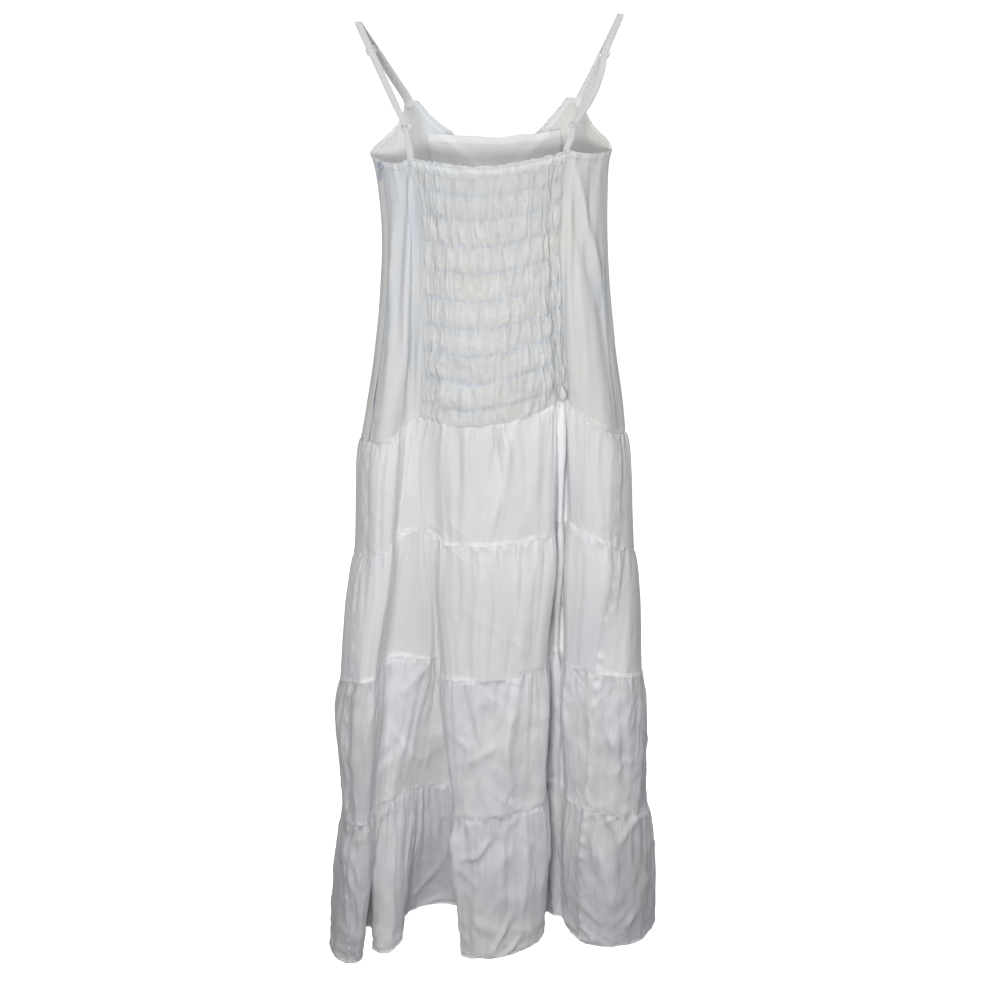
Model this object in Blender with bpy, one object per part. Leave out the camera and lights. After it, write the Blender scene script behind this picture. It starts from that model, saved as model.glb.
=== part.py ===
"""Maxi dress: tiered cotton skirt, shirred back panel, V neck and adjustable thin straps, hung by its straps.

Frame: metres, +Z up, +X the wearer's right, +Y the front, origin midway between the two strap tips.
The garment is one closed plan curve that changes from level to level.  LINES lists the hanging lines
of the cloth (one row per fold edge, crest or trough) in order: left side seam, along the back, right
side seam, along the front and home again.  Every cloth piece is a wall between that surface and its
inward offset, so neighbouring pieces meet rim to rim with one seam gap.
"""
import math

import bpy
import numpy as np

MM = 0.001

# ---- driving sizes, in millimetres -------------------------------------------------------------
SEAM_GAP = 0.3            # clearance between neighbouring pieces
COTTON = 1.6              # wall of the single cloth pieces
SHIRRED = 2.4             # wall of the gathered back panel and its top band
BAND_HEIGHT = 17.0        # top band above the first row of elastic
BUST_Z = -175.0           # level of the bust plan
NIP_LEFT, NIP_RIGHT = 0.125, 0.065    # how far the waist is drawn in, as a share of the half width
BELLY = (3.5, 5.0, 6.0, 7.0)          # how far each gathered tier swells below its seam
STEPS = 3                 # wall columns per hanging line
ZIP_HALF = 2.6            # half width of the zip chain in the left side seam
STRAP_WIDTH, STRAP_THICK = 9.0, 1.2
RING_RADIUS, RING_WIRE = 6.2, 1.0
BAR = 1.5                 # bar of the strap sliders
INSET_DEPTH = 82.0        # height of the straight inset behind the V
FRILL_WIDTH, FRILL_RISE = 15.0, 6.0     # height of the frill, and how much of it shows above the V

# ---- hanging lines: bust plan, top edge height, then (x, y, z) at the hip seam, the three tier seams, the hem
LINES = (
    # name          bust x,y     top z   hip seam            seam 1              seam 2              seam 3                hem
    ("side_left",   (-149, -15), -184, (-168, -24, -577), (-178, -40, -740), (-199, -66, -926), (-206, -95, -1137), (-208, -133, -1350)),
    ("left_crest",  (-139, -24), -186, (-151, -43, -574), (-160, -60, -731), (-183, -85, -919), (-192, -110, -1133), (-198, -137, -1347)),
    ("left_edge",   (-129, -31), -186, (-132, -45, -569), (-139, -62, -722), (-166, -80, -917), (-178, -106, -1134), (-189, -122, -1348)),
    ("left_cleft",  (-120, -37), -184, (-117, -25, -549), (-131, -38, -709), (-157, -52, -909), (-173, -80, -1129), (-185, -52, -1337)),
    ("inner_left",  (-112, -42), -179, (-106, -22, -541), (-118, -34, -706), (-145, -30, -903), (-162, -62, -1121), (-175, -100, -1346)),
    ("panel_left",  (-104, -46), -176, (-97, -26, -540), (-103, -35, -706), (-112, -30, -904), (-144, -54, -1120), (-154, -112, -1346)),
    ("inner_right", (-92, -49), -178, (-88, -31, -540), (-94, -38, -708), (-88, -31, -906), (-124, -38, -1116), (-133, -85, -1342)),
    ("valley_left", (-82, -51), -180, (-80, -37, -541), (-86, -40, -709), (-80, -20, -908), (-104, -24, -1115), (-126, -10, -1338)),
    ("valley_right", (-74, -52), -181, (-75, -43, -541), (-76, -43, -711), (-71, -24, -910), (-60, -14, -1121), (-52, 4, -1336)),
    ("mid_left",    (-66, -53), -182, (-68, -50, -541), (-64, -60, -717), (-62, -70, -919), (-51, -88, -1131), (-43, -112, -1349)),
    ("mid_crest",   (-30, -56), -185, (-26, -61, -543), (-28, -76, -714), (-30, -85, -916), (-30, -101, -1129), (-24, -126, -1346)),
    ("mid_centre",  (10, -57), -184, (20, -60, -538), (20, -75, -712), (14, -84, -914), (4, -104, -1126), (6, -124, -1346)),
    ("mid_slope",   (50, -54), -178, (60, -50, -528), (60, -67, -708), (52, -72, -909), (42, -92, -1121), (42, -108, -1346)),
    ("mid_right",   (78, -51), -172, (87, -38, -519), (86, -54, -706), (77, -54, -908), (76, -70, -1122), (75, -78, -1343)),
    ("deep_left",   (86, -49), -170, (95, -24, -517), (93, -16, -699), (86, -6, -905), (84, -4, -1119), (85, -2, -1343)),
    ("deep_pleat",  (93, -48), -168, (101, -30, -517), (100, -24, -697), (96, -14, -900), (97, -12, -1117), (96, -16, -1341)),
    ("panel_right", (102, -45), -166, (106, -22, -517), (107, -10, -696), (104, 0, -901), (107, -2, -1120), (106, -14, -1344)),
    ("right_edge",  (111, -41), -168, (113, -33, -523), (114, -40, -699), (110, -42, -911), (114, -46, -1124), (117, -46, -1345)),
    ("right_crest", (124, -33), -172, (134, -44, -540), (138, -61, -704), (126, -58, -909), (122, -56, -1125), (124, -62, -1345)),
    ("right_slope", (138, -24), -174, (160, -42, -554), (160, -66, -715), (140, -66, -910), (131, -66, -1126), (129, -71, -1346)),
    ("side_right",  (153, -12), -175, (178, -22, -566), (177, -54, -725), (155, -72, -911), (141, -76, -1126), (134, -80, -1346)),
    ("wrap_1",      (160, -4), -175, (186, -9, -569), (190, -42, -732), (175, -76, -912), (160, -85, -1126), (151, -92, -1345)),
    ("wrap_2",      (164, 3), -175, (190, 2, -570), (199, -26, -738), (196, -72, -916), (183, -94, -1127), (180, -98, -1344)),
    ("wrap_3",      (160, 12), -163, (190, 12, -572), (205, -8, -744), (213, -52, -922), (211, -84, -1129), (216, -88, -1343)),
    ("wrap_4",      (149, 24), -153, (186, 22, -573), (205, 10, -748), (221, -22, -930), (228, -50, -1137), (240, -55, -1342)),
    ("arm_right",   (138, 34), -138, (176, 34, -572), (198, 28, -748), (217, 12, -936), (232, -12, -1142), (250, -15, -1343)),
    ("point_right", (128, 41), -117, (162, 44, -570), (184, 46, -746), (202, 45, -938), (218, 32, -1144), (238, 30, -1345)),
    ("neck_right",  (114, 46), -111, (145, 50, -567), (165, 58, -743), (178, 66, -937), (192, 70, -1144), (205, 72, -1347)),
    ("front_dip_1", (97, 49), -131, (124, 50, -564), (138, 46, -740), (146, 40, -935), (152, 38, -1142), (156, 36, -1345)),
    ("front_2",     (74, 51), -156, (98, 56, -562), (106, 68, -738), (112, 78, -934), (116, 90, -1142), (118, 102, -1347)),
    ("front_3",     (40, 53), -188, (60, 58, -560), (66, 72, -736), (68, 84, -933), (70, 98, -1142), (66, 110, -1348)),
    ("front_dip_2", (6, 54), -220, (20, 55, -559), (26, 52, -734), (28, 46, -931), (28, 42, -1139), (28, 38, -1344)),
    ("front_4",     (-26, 53), -190, (-12, 56, -560), (-8, 62, -735), (-6, 70, -932), (-6, 76, -1141), (-8, 84, -1346)),
    ("front_5",     (-56, 51), -161, (-50, 58, -562), (-50, 74, -737), (-50, 90, -935), (-52, 104, -1144), (-54, 118, -1349)),
    ("front_6",     (-84, 49), -137, (-88, 55, -565), (-92, 64, -740), (-96, 76, -937), (-100, 88, -1145), (-104, 98, -1348)),
    ("neck_left",   (-103, 46), -115, (-116, 50, -568), (-124, 46, -742), (-130, 42, -938), (-134, 40, -1144), (-138, 38, -1347)),
    ("point_left",  (-116, 42), -121, (-140, 46, -572), (-152, 54, -746), (-162, 60, -941), (-168, 66, -1147), (-172, 74, -1350)),
    ("arm_left",    (-126, 37), -144, (-158, 38, -576), (-174, 42, -750), (-190, 42, -944), (-197, 40, -1149), (-206, 44, -1352)),
    ("lap_4",       (-140, 28), -159, (-172, 26, -578), (-188, 24, -752), (-208, 18, -944), (-213, 8, -1148), (-228, 4, -1352)),
    ("lap_3",       (-155, 14), -172, (-179, 14, -579), (-194, 8, -752), (-217, -6, -942), (-219, -24, -1146), (-240, -40, -1352)),
    ("lap_2",       (-162, 2), -179, (-181, 2, -579), (-194, -8, -751), (-218, -28, -938), (-219, -50, -1143), (-241, -80, -1352)),
    ("lap_1",       (-158, -7), -182, (-177, -11, -578), (-189, -24, -748), (-211, -48, -932), (-214, -76, -1140), (-228, -116, -1352)),
)
NAME = {row[0]: i for i, row in enumerate(LINES)}
COLUMNS = len(LINES) * STEPS

# ---- colours and finishes ----------------------------------------------------------------------
FINISH = {
    "cotton": ((0.80, 0.80, 0.79), 0.85, 0.0),
    "strap_cotton": ((0.78, 0.78, 0.77), 0.80, 0.0),
    "clear_plastic": ((0.82, 0.84, 0.86), 0.15, 0.0),
    "zip_plastic": ((0.62, 0.65, 0.70), 0.45, 0.0),
}


def clear_file():
    for obj in list(bpy.data.objects):
        bpy.data.objects.remove(obj, do_unlink=True)


def material_for(node, finish):
    colour, roughness, metallic = FINISH[finish]
    mat = bpy.data.materials.new(node)
    mat.use_nodes = True
    bsdf = mat.node_tree.nodes["Principled BSDF"]
    bsdf.inputs["Base Color"].default_value = (*colour, 1.0)
    bsdf.inputs["Roughness"].default_value = roughness
    bsdf.inputs["Metallic"].default_value = metallic
    return mat


def add_object(node, verts, faces, finish):
    """One named solid from vertices in millimetres and outward faces."""
    mesh = bpy.data.meshes.new(node)
    mesh.from_pydata([tuple(v) for v in np.asarray(verts) * MM], [], faces)
    mesh.update()
    obj = bpy.data.objects.new(node, mesh)
    obj.data.materials.append(material_for(node, finish))
    DRESS.objects.link(obj)
    return obj


# ---- the surface of the dress --------------------------------------------------------------------
def closed_curve(knots, steps):
    """Smooth closed curve through the knots: at each knot the tangent bisects its two chords and is as
    long as the shorter one, so a tight fold next to a long wall does not overshoot."""
    knots = np.asarray(knots, float)
    ahead = np.roll(knots, -1, 0) - knots
    length = np.linalg.norm(ahead, axis=1)
    unit = ahead / length[:, None]
    bisect = unit + np.roll(unit, 1, 0)
    bisect /= np.linalg.norm(bisect, axis=1)[:, None] + 1e-9
    tangent = bisect * np.minimum(length, np.roll(length, 1))[:, None]
    out = []
    for s in range(steps):
        t = s / steps
        out.append((2 * t**3 - 3 * t**2 + 1) * knots + (t**3 - 2 * t**2 + t) * tangent
                   + (3 * t**2 - 2 * t**3) * np.roll(knots, -1, 0) + (t**3 - t**2) * np.roll(tangent, -1, 0))
    return np.stack(out, 1).reshape(-1, knots.shape[1])


def plan_normals(loop):
    """Outward unit normals of a closed loop, in the horizontal plane."""
    along = np.roll(loop, -1, 0)[:, :2] - np.roll(loop, 1, 0)[:, :2]
    along /= np.linalg.norm(along, axis=1)[:, None]
    return np.stack([along[:, 1], -along[:, 0], np.zeros(len(loop))], 1)


BUST = closed_curve([row[1] for row in LINES], STEPS)
TOP_Z = closed_curve([(i * 10.0, row[2]) for i, row in enumerate(LINES)], STEPS)[:, 1]
LEVELS = [closed_curve([row[3 + k] for row in LINES], STEPS) for k in range(5)]


def bodice_loop(heights):
    """Ring of bodice points at the given height of every column: the bust plan runs to the hip plan,
    drawn in at the waist."""
    hip = LEVELS[0]
    share = (BUST_Z - heights) / (BUST_Z - hip[:, 2])
    plan = BUST + (hip[:, :2] - BUST) * share[:, None]
    nip = np.sin(math.pi * np.clip(share, 0, 1) ** 0.7)
    plan = plan.copy()
    plan[:, 0] *= 1 - nip * np.where(plan[:, 0] < 0, NIP_LEFT, NIP_RIGHT)
    return np.column_stack([plan, heights])


def bodice_at(share):
    """Bodice ring a share of the way from the top edge down to the hip seam."""
    return bodice_loop(TOP_Z + (LEVELS[0][:, 2] - TOP_Z) * share)


def skirt_at(tier, share):
    """Skirt ring a share of the way down a tier; it swells just below the gathering seam."""
    a, b = LEVELS[tier], LEVELS[tier + 1]
    before = LEVELS[max(tier - 1, 0)]
    after = LEVELS[min(tier + 2, 4)]
    t = share
    ta, tb = (b - before) / 2, (after - a) / 2
    ring = ((2 * t**3 - 3 * t**2 + 1) * a + (t**3 - 2 * t**2 + t) * ta
            + (3 * t**2 - 2 * t**3) * b + (t**3 - t**2) * tb)
    return ring + plan_normals(ring) * BELLY[tier] * math.sin(math.pi * share**0.6)


def wall(node, rings, first, last, thickness, finish="cotton", trim_first=None, trim_last=None):
    """Closed cloth wall between two hanging lines: outer rings, their inward offset and four rims.

    rings run from the top down; first and last are column numbers (last may pass the end of the loop);
    trims shorten each end by so many millimetres, one value per ring."""
    columns = [c % COLUMNS for c in range(first, last + 1)]
    half = SEAM_GAP / 2
    trim_first = [half] * len(rings) if trim_first is None else trim_first
    trim_last = [half] * len(rings) if trim_last is None else trim_last
    outer, inner = [], []
    for ring, t0, t1 in zip(rings, trim_first, trim_last):
        normals = plan_normals(ring)
        o = ring[columns].copy()
        i = o - normals[columns] * thickness
        for row in (o, i):
            for end, nxt, trim in ((0, 1, t0), (-1, -2, t1)):
                step = row[nxt] - row[end]
                row[end] += step / np.linalg.norm(step) * trim
        outer.append(o)
        inner.append(i)
    return grid_solid(node, np.array(outer), np.array(inner), finish)


def grid_solid(node, outer, inner, finish):
    """Solid between two matching grids of points; rows run down, columns run along the loop."""
    rows, cols = outer.shape[:2]
    verts = np.concatenate([outer.reshape(-1, 3), inner.reshape(-1, 3)])
    n = rows * cols

    def o(r, c):
        return r * cols + c

    def i(r, c):
        return n + r * cols + c

    faces = []
    for r in range(rows - 1):
        for c in range(cols - 1):
            faces.append((o(r, c), o(r + 1, c), o(r + 1, c + 1), o(r, c + 1)))
            faces.append((i(r, c), i(r, c + 1), i(r + 1, c + 1), i(r + 1, c)))
    for c in range(cols - 1):
        faces.append((o(0, c), o(0, c + 1), i(0, c + 1), i(0, c)))
        faces.append((o(rows - 1, c), i(rows - 1, c), i(rows - 1, c + 1), o(rows - 1, c + 1)))
    for r in range(rows - 1):
        faces.append((o(r, 0), i(r, 0), i(r + 1, 0), o(r + 1, 0)))
        faces.append((o(r, cols - 1), o(r + 1, cols - 1), i(r + 1, cols - 1), i(r, cols - 1)))
    return add_object(node, verts, faces, finish)


def column(name):
    return NAME[name] * STEPS


# ---- bodice and skirt ----------------------------------------------------------------------------
def lift(ring, by):
    moved = ring.copy()
    moved[:, 2] += by
    return moved


def build_bodice():
    hip = LEVELS[0][:, 2]
    band_bottom = TOP_Z - BAND_HEIGHT
    lower = [bodice_at(s) for s in (0.30, 0.55, 0.78)] + [bodice_loop(hip + SEAM_GAP / 2)]
    rings = [bodice_loop(TOP_Z), bodice_loop(band_bottom)] + lower
    beside_zip = [ZIP_HALF + 2.4 * SEAM_GAP] * len(rings)
    wall("side_back_left", rings, column("side_left"), column("panel_left"), COTTON, trim_first=beside_zip)
    wall("side_back_right", rings, column("panel_right"), column("side_right"), COTTON)
    wall("front_panel", rings, column("side_right"), COLUMNS, COTTON, trim_last=beside_zip)
    wall("back_top_band", rings[:2], column("panel_left"), column("panel_right"), SHIRRED)
    panel = [bodice_loop(band_bottom - SEAM_GAP)] + lower
    wall("back_shirred_panel", panel, column("panel_left"), column("panel_right"), SHIRRED)


def build_skirt():
    for tier in range(4):
        rings = [lift(skirt_at(tier, 0.0), -SEAM_GAP / 2), skirt_at(tier, 0.34),
                 lift(skirt_at(tier, 1.0), SEAM_GAP / 2 if tier < 3 else 0.0)]
        wall(f"tier_{tier + 1}_back", rings, column("side_left"), column("side_right"), COTTON)
        wall(f"tier_{tier + 1}_front", rings, column("side_right"), COLUMNS, COTTON)


def build_inset():
    """Straight-topped inset that closes the V, lying just inside the front panel."""
    first, last = column("front_dip_1"), column("front_6")
    top = np.interp(np.arange(COLUMNS), [first, (first + last) / 2, last], [-154.0, -166.0, -160.0])
    outer, inner = [], []
    for drop in (0.0, INSET_DEPTH / 2, INSET_DEPTH):
        ring = bodice_loop(top - drop)
        normals = plan_normals(ring)
        face = ring - normals * (COTTON + SEAM_GAP)
        outer.append(face[first:last + 1])
        inner.append((face - normals * 1.3)[first:last + 1])
    grid_solid("front_inset", np.array(outer), np.array(inner), "cotton")


def build_frill(node, first, last):
    """Narrow gathered frill along one side of the V, standing just outside the front panel."""
    columns = np.arange(column(first), column(last) + 1)
    wave = np.where(np.arange(len(columns)) % 2 == 0, 0.0, 1.8)[:, None]
    outer, inner = [], []
    for above in (FRILL_RISE, FRILL_RISE - FRILL_WIDTH):
        ring = bodice_loop(TOP_Z + above)
        normals = plan_normals(ring)[columns]
        base = ring[columns] + normals * SEAM_GAP
        for end, step in ((0, base[1] - base[0]), (-1, base[-2] - base[-1])):
            base[end] += step / np.linalg.norm(step) * SEAM_GAP
        inner.append(base)
        outer.append(base + normals * (1.3 + wave))
    grid_solid(node, np.array(outer), np.array(inner), "cotton")


# ---- zip -------------------------------------------------------------------------------------------
def side_seam(share):
    """Point, outward normal and along-the-loop tangent of the left side seam."""
    ring = bodice_loop(TOP_Z - BAND_HEIGHT) if share == 0.05 else bodice_at(share)
    normal = plan_normals(ring)[0]
    return ring[0], normal, np.array([-normal[1], normal[0], 0.0])


def box(centre, axes, half):
    """Corners and faces of a block with its own axes (right-handed)."""
    corners = [np.asarray(centre) + sum(s * h * np.asarray(a) for s, h, a in zip(signs, half, axes))
               for signs in ((-1, -1, -1), (1, -1, -1), (1, 1, -1), (-1, 1, -1),
                             (-1, -1, 1), (1, -1, 1), (1, 1, 1), (-1, 1, 1))]
    faces = [(0, 3, 2, 1), (4, 5, 6, 7), (0, 1, 5, 4), (1, 2, 6, 5), (2, 3, 7, 6), (3, 0, 4, 7)]
    return corners, faces


def eye_ring(centre, axes, outer, inner, half, around=12):
    """Short tube about the first axis: the eye of the pull tab."""
    axis, u, v = axes
    verts, faces = [], []
    for i in range(around):
        a = 2 * math.pi * i / around
        radial = math.cos(a) * u + math.sin(a) * v
        verts += [centre + radial * r + axis * h for r, h in
                  ((outer, -half), (outer, half), (inner, half), (inner, -half))]
    for i in range(around):
        a, b = i * 4, ((i + 1) % around) * 4
        for j in range(4):
            k = (j + 1) % 4
            faces.append((a + j, b + j, b + k, a + k))
    return verts, faces


def build_zip():
    outer, inner = [], []
    for share in (0.0, 0.05, 0.30, 0.55, 0.78, 1.0):
        point, normal, along = side_seam(share)
        point = point + np.array([0.0, 0.0, SEAM_GAP / 2 if share == 1.0 else 0.0])
        outer.append([point + normal * 0.2 - along * ZIP_HALF, point + normal * 0.2 + along * ZIP_HALF])
        inner.append([p - normal * 1.6 for p in outer[-1]])
    grid_solid("zip_chain", np.array(outer), np.array(inner), "zip_plastic")

    seat, (along, normal, up), pivot = zip_seat()
    body = seat + normal * 1.1
    pieces = [box(body, (along, normal, up), (3.2, 1.1, 4.6))]
    for side in (-1, 1):
        pieces.append(box((body + pivot) / 2 + along * side * 2.4 + normal * 0.6, (along, normal, up), (0.55, 2.2, 1.3)))
    pieces.append(box(pivot, (along, normal, up), (2.6, 0.5, 0.5)))
    union_of("zip_slider", pieces, "zip_plastic")

    # pull tab: an eye round the pin and a plate hanging straight down from it
    level = unit(np.array([normal[0], normal[1], 0.0]))
    plumb = np.array([0.0, 0.0, 1.0])
    axes = (along, level, plumb)
    union_of("zip_pull", [eye_ring(pivot, axes, 2.0, 1.05, 1.4),
                          box(pivot - plumb * 4.4, axes, (1.2, 0.55, 2.8)),
                          box(pivot - plumb * 13.0, axes, (2.5, 0.6, 6.4))], "zip_plastic")


def zip_seat():
    """Where the slider sits on the chain: its seat, its axes (along, outward, up the chain) and its pin."""
    point, _, along = side_seam(0.0)
    below = side_seam(0.05)[0]
    up = unit(point - below)
    normal = unit(np.cross(up, along))
    normal = normal if np.dot(normal, side_seam(0.0)[1]) > 0 else -normal
    seat = point - up * 8.0 + normal * (0.2 + SEAM_GAP + 0.25)
    return seat, (along, normal, up), seat + normal * 4.4


def union_of(node, pieces, finish):
    """One solid from overlapping blocks, joined with exact booleans."""
    result = None
    for corners, faces in pieces:
        obj = add_object(node if result is None else node + "_cut", corners, faces, finish)
        if result is None:
            result = obj
            continue
        joined = result.modifiers.new("join", "BOOLEAN")
        joined.operation, joined.solver, joined.object = "UNION", "EXACT", obj
        evaluated = result.evaluated_get(bpy.context.evaluated_depsgraph_get())
        mesh = bpy.data.meshes.new_from_object(evaluated)
        result.modifiers.clear()
        result.data = mesh
        bpy.data.objects.remove(obj, do_unlink=True)
    result.data.materials.clear()
    result.data.materials.append(material_for(node, finish))
    return result


# ---- straps ----------------------------------------------------------------------------------------
def unit(v):
    v = np.asarray(v, float)
    return v / np.linalg.norm(v)


def ribbon(node, path, width, thickness, finish, facing=(1.0, 0.0, 0.0)):
    """Flat ribbon along a path: a rectangular section whose width keeps as close to `facing` as the
    path allows."""
    path = np.asarray(path, float)
    width = np.broadcast_to(width, (len(path),))
    steps = np.diff(path, axis=0)
    steps /= np.linalg.norm(steps, axis=1)[:, None]
    tangents = np.vstack([steps[:1], steps[:-1] + steps[1:], steps[-1:]])
    outer, inner = [], []
    for p, t, w in zip(path, tangents, width):
        t = unit(t)
        side = unit(np.asarray(facing) - np.dot(facing, t) * t)
        face = np.cross(t, side)
        outer.append([p + face * thickness / 2 - side * w / 2, p + face * thickness / 2 + side * w / 2])
        inner.append([q - face * thickness for q in outer[-1]])
    return grid_solid(node, np.array(outer), np.array(inner), finish)


def turn(centre, start, across, radius, sweep, count):
    """Arc of points about a centre from the direction `start` towards `across`."""
    angles = np.linspace(0, sweep, count)
    return [centre + radius * (math.cos(a) * start + math.sin(a) * across) for a in angles]


STRAPS = {
    # side: tip, ring centre, slider, front point (top corner of the front), foot of the stub on the back band
    "left": dict(tip=(-171, 0, -6), ring=(-109, -37, -139), slider=(-156, -10, -43),
                 front=(-110, 43, -115), foot=(-104, -46, -176), bulge=(0.0, 0.0, 0.0)),
    "right": dict(tip=(171, 0, 4), ring=(112, -36, -136), slider=(151, -12, -45),
                  front=(121, 43, -111), foot=(102, -45, -166), bulge=(7.0, -4.0, 0.0)),
}
TIP_RADIUS, SLIDER_HALF = 4.0, 5.2


def seat_on_rim(x, front, thickness):
    """Middle of the top rim under a strap at this x, and just above its highest point there."""
    ring = bodice_loop(TOP_Z)
    dense = np.concatenate([ring + (np.roll(ring, -1, 0) - ring) * t for t in (0, 0.25, 0.5, 0.75)])
    near = dense[(np.abs(dense[:, 0] - x) < STRAP_WIDTH / 2) & ((dense[:, 1] > 0) == front)]
    middle = near[np.argmin(np.abs(near[:, 0] - x))]
    inward = -thickness / 2 if front else thickness / 2
    return np.array([x, middle[1] + inward, near[:, 2].max() + SEAM_GAP])


def build_strap(side, data):
    tip, ring, front = (np.array(data[k], float) for k in ("tip", "ring", "front"))
    slider, foot, bulge = (np.array(data[k], float) for k in ("slider", "foot", "bulge"))
    x = np.array([1.0, 0.0, 0.0])
    down_back = unit(ring - tip)
    face = unit(np.cross(down_back, unit(x - np.dot(x, down_back) * down_back)))
    face = face if face[1] < 0 else -face          # points to the back
    wire = ring - down_back * (RING_RADIUS - 0.45)          # just under the top of the ring
    bend = RING_WIRE + 1.1 + SEAM_GAP + STRAP_THICK / 2

    # strap: front point, over the tip, down the back, round the ring and up to the slider
    front_foot = seat_on_rim(front[0], True, COTTON) + np.array([0, 0, 0.3])
    over = []
    for a in np.linspace(math.radians(155), math.radians(15), 7):
        over.append(tip + np.array([0, TIP_RADIUS * -math.cos(a), TIP_RADIUS * math.sin(a) - TIP_RADIUS]))
    front_top = over[0]
    back_top = over[-1]
    low = wire + face * bend
    run = low - back_top
    share = np.dot(slider - back_top, run) / np.dot(run, run)
    at_slider = back_top + run * share
    rise = np.array([0.0, 0.0, 2.0])
    path = [front_foot, front_foot + rise] + [front_foot + (front_top - front_foot) * t for t in (0.33, 0.66)]
    path += over
    path.append(at_slider)
    for t in (0.25, 0.5, 0.75):
        path.append(at_slider + (low - at_slider) * t + (bulge + face * 0.8) * math.sin(math.pi * t))
    path += turn(wire, face, down_back, bend, math.pi, 7)
    up_in = wire - face * bend
    frame_at = at_slider - face * (STRAP_THICK / 2 + SEAM_GAP + BAR / 2)
    inside_end = frame_at + unit(run) * (SLIDER_HALF + SEAM_GAP + 0.3) - face * 0.6
    for t in (0.35, 0.7, 1.0):
        path.append(up_in + (inside_end - up_in) * t)
    widths = np.full(len(path), STRAP_WIDTH)
    turn_at = 4 + len(over) + 4
    widths[turn_at:turn_at + 7] = 5.4
    ribbon(f"strap_{side}", path, widths, STRAP_THICK, "strap_cotton")

    # ring
    torus(f"ring_{side}", ring, down_back, face, RING_RADIUS, RING_WIRE)

    # stub: a folded ribbon from the band through the bottom of the ring
    to_foot = foot + np.array([0, 0, 3.0]) - ring
    to_foot = unit(to_foot - np.dot(to_foot, face) * face)
    wire_low = ring + to_foot * (RING_RADIUS - 0.45)
    stub_face = unit(face - np.dot(face, to_foot) * to_foot)
    gap = bend
    foot_top = seat_on_rim(foot[0], False, SHIRRED)
    outer_foot = foot_top + stub_face * 0.75 + np.array([0, 0, 0.4])
    inner_foot = foot_top - stub_face * 0.75 + np.array([0, 0, 0.4])
    path = [outer_foot, outer_foot + rise, outer_foot * 0.5 + (wire_low + stub_face * gap) * 0.5]
    path += turn(wire_low, stub_face, -to_foot, gap, math.pi, 7)
    path += [inner_foot * 0.5 + (wire_low - stub_face * gap) * 0.5, inner_foot + rise, inner_foot]
    widths = np.full(len(path), STRAP_WIDTH - 0.6)
    widths[3:10] = 5.4
    ribbon(f"strap_stub_{side}", path, widths, 1.0, "strap_cotton")

    slider_frame(f"strap_slider_{side}", frame_at, face, unit(run))


def slider_frame(node, centre, face, down):
    """Small frame with a middle bar behind the strap; the strap's return end stops just below it."""
    face = unit(face - np.dot(face, down) * down)
    side = np.cross(face, down)
    half_w = STRAP_WIDTH / 2 + 2.2
    pieces = []
    for s in (-1, 1):
        pieces.append(box(centre + side * s * (half_w - BAR / 2), (side, face, np.cross(side, face)),
                          (BAR / 2, BAR / 2, SLIDER_HALF)))
    for s in (-1, 0, 1):
        pieces.append(box(centre + down * s * (SLIDER_HALF - BAR / 2 - 0.02), (side, face, np.cross(side, face)),
                          (half_w - 0.1, BAR / 2 - 0.05, BAR / 2)))
    union_of(node, pieces, "clear_plastic")


def torus(node, centre, u, v, major, minor, around=20, across=8):
    """Ring whose plane holds u and the width of the strap; v is the axis."""
    w = np.cross(u, v)
    verts, faces = [], []
    for i in range(around):
        a = 2 * math.pi * i / around
        radial = math.cos(a) * u + math.sin(a) * w
        for j in range(across):
            b = 2 * math.pi * j / across
            verts.append(centre + radial * (major + minor * math.cos(b)) + v * minor * math.sin(b))
    for i in range(around):
        for j in range(across):
            a, b = i * across + j, ((i + 1) % around) * across + j
            c, d = ((i + 1) % around) * across + (j + 1) % across, i * across + (j + 1) % across
            faces.append((a, d, c, b))
    return add_object(node, verts, faces, "clear_plastic")


clear_file()
DRESS = bpy.data.collections.new("maxi_dress")
bpy.context.scene.collection.children.link(DRESS)
build_bodice()
build_inset()
build_frill("frill_right", "neck_right", "front_dip_2")
build_frill("frill_left", "front_dip_2", "neck_left")
build_skirt()
build_zip()
for side_name, side_data in STRAPS.items():
    build_strap(side_name, side_data)
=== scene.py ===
"""Maxi dress, as it hangs by its straps, seen from the back.

Thin cloth shells over the CAD pieces.  The garment is one closed plan curve that changes from level to
level.  Every shell follows it and adds its own relief: gathers under each tier seam, rows of shirring,
creases, crumple, seam allowances and stitched hems.

Sizes are in millimetres until mesh_object turns them into metres.  In the reliefs, a is the distance
along the cloth, down and up are the distances from its upper and lower edges, d is the height off the
plain surface, and noise(a / 60, ...) is a wave with a point every 60 mm.
"""
import math

import bmesh
import bpy
import numpy as np
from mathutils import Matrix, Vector


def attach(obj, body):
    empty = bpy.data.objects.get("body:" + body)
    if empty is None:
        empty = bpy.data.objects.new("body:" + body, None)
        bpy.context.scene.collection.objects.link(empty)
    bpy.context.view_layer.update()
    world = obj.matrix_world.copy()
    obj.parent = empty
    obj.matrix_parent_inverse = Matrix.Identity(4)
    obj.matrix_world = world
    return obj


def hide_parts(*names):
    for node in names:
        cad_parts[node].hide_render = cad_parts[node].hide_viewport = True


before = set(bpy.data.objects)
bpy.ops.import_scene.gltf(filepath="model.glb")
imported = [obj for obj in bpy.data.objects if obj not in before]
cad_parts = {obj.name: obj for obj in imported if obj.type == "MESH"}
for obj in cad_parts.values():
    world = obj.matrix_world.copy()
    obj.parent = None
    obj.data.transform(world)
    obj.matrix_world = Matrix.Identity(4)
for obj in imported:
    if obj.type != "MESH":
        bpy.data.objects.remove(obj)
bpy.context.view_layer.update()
MM = 0.001

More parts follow.
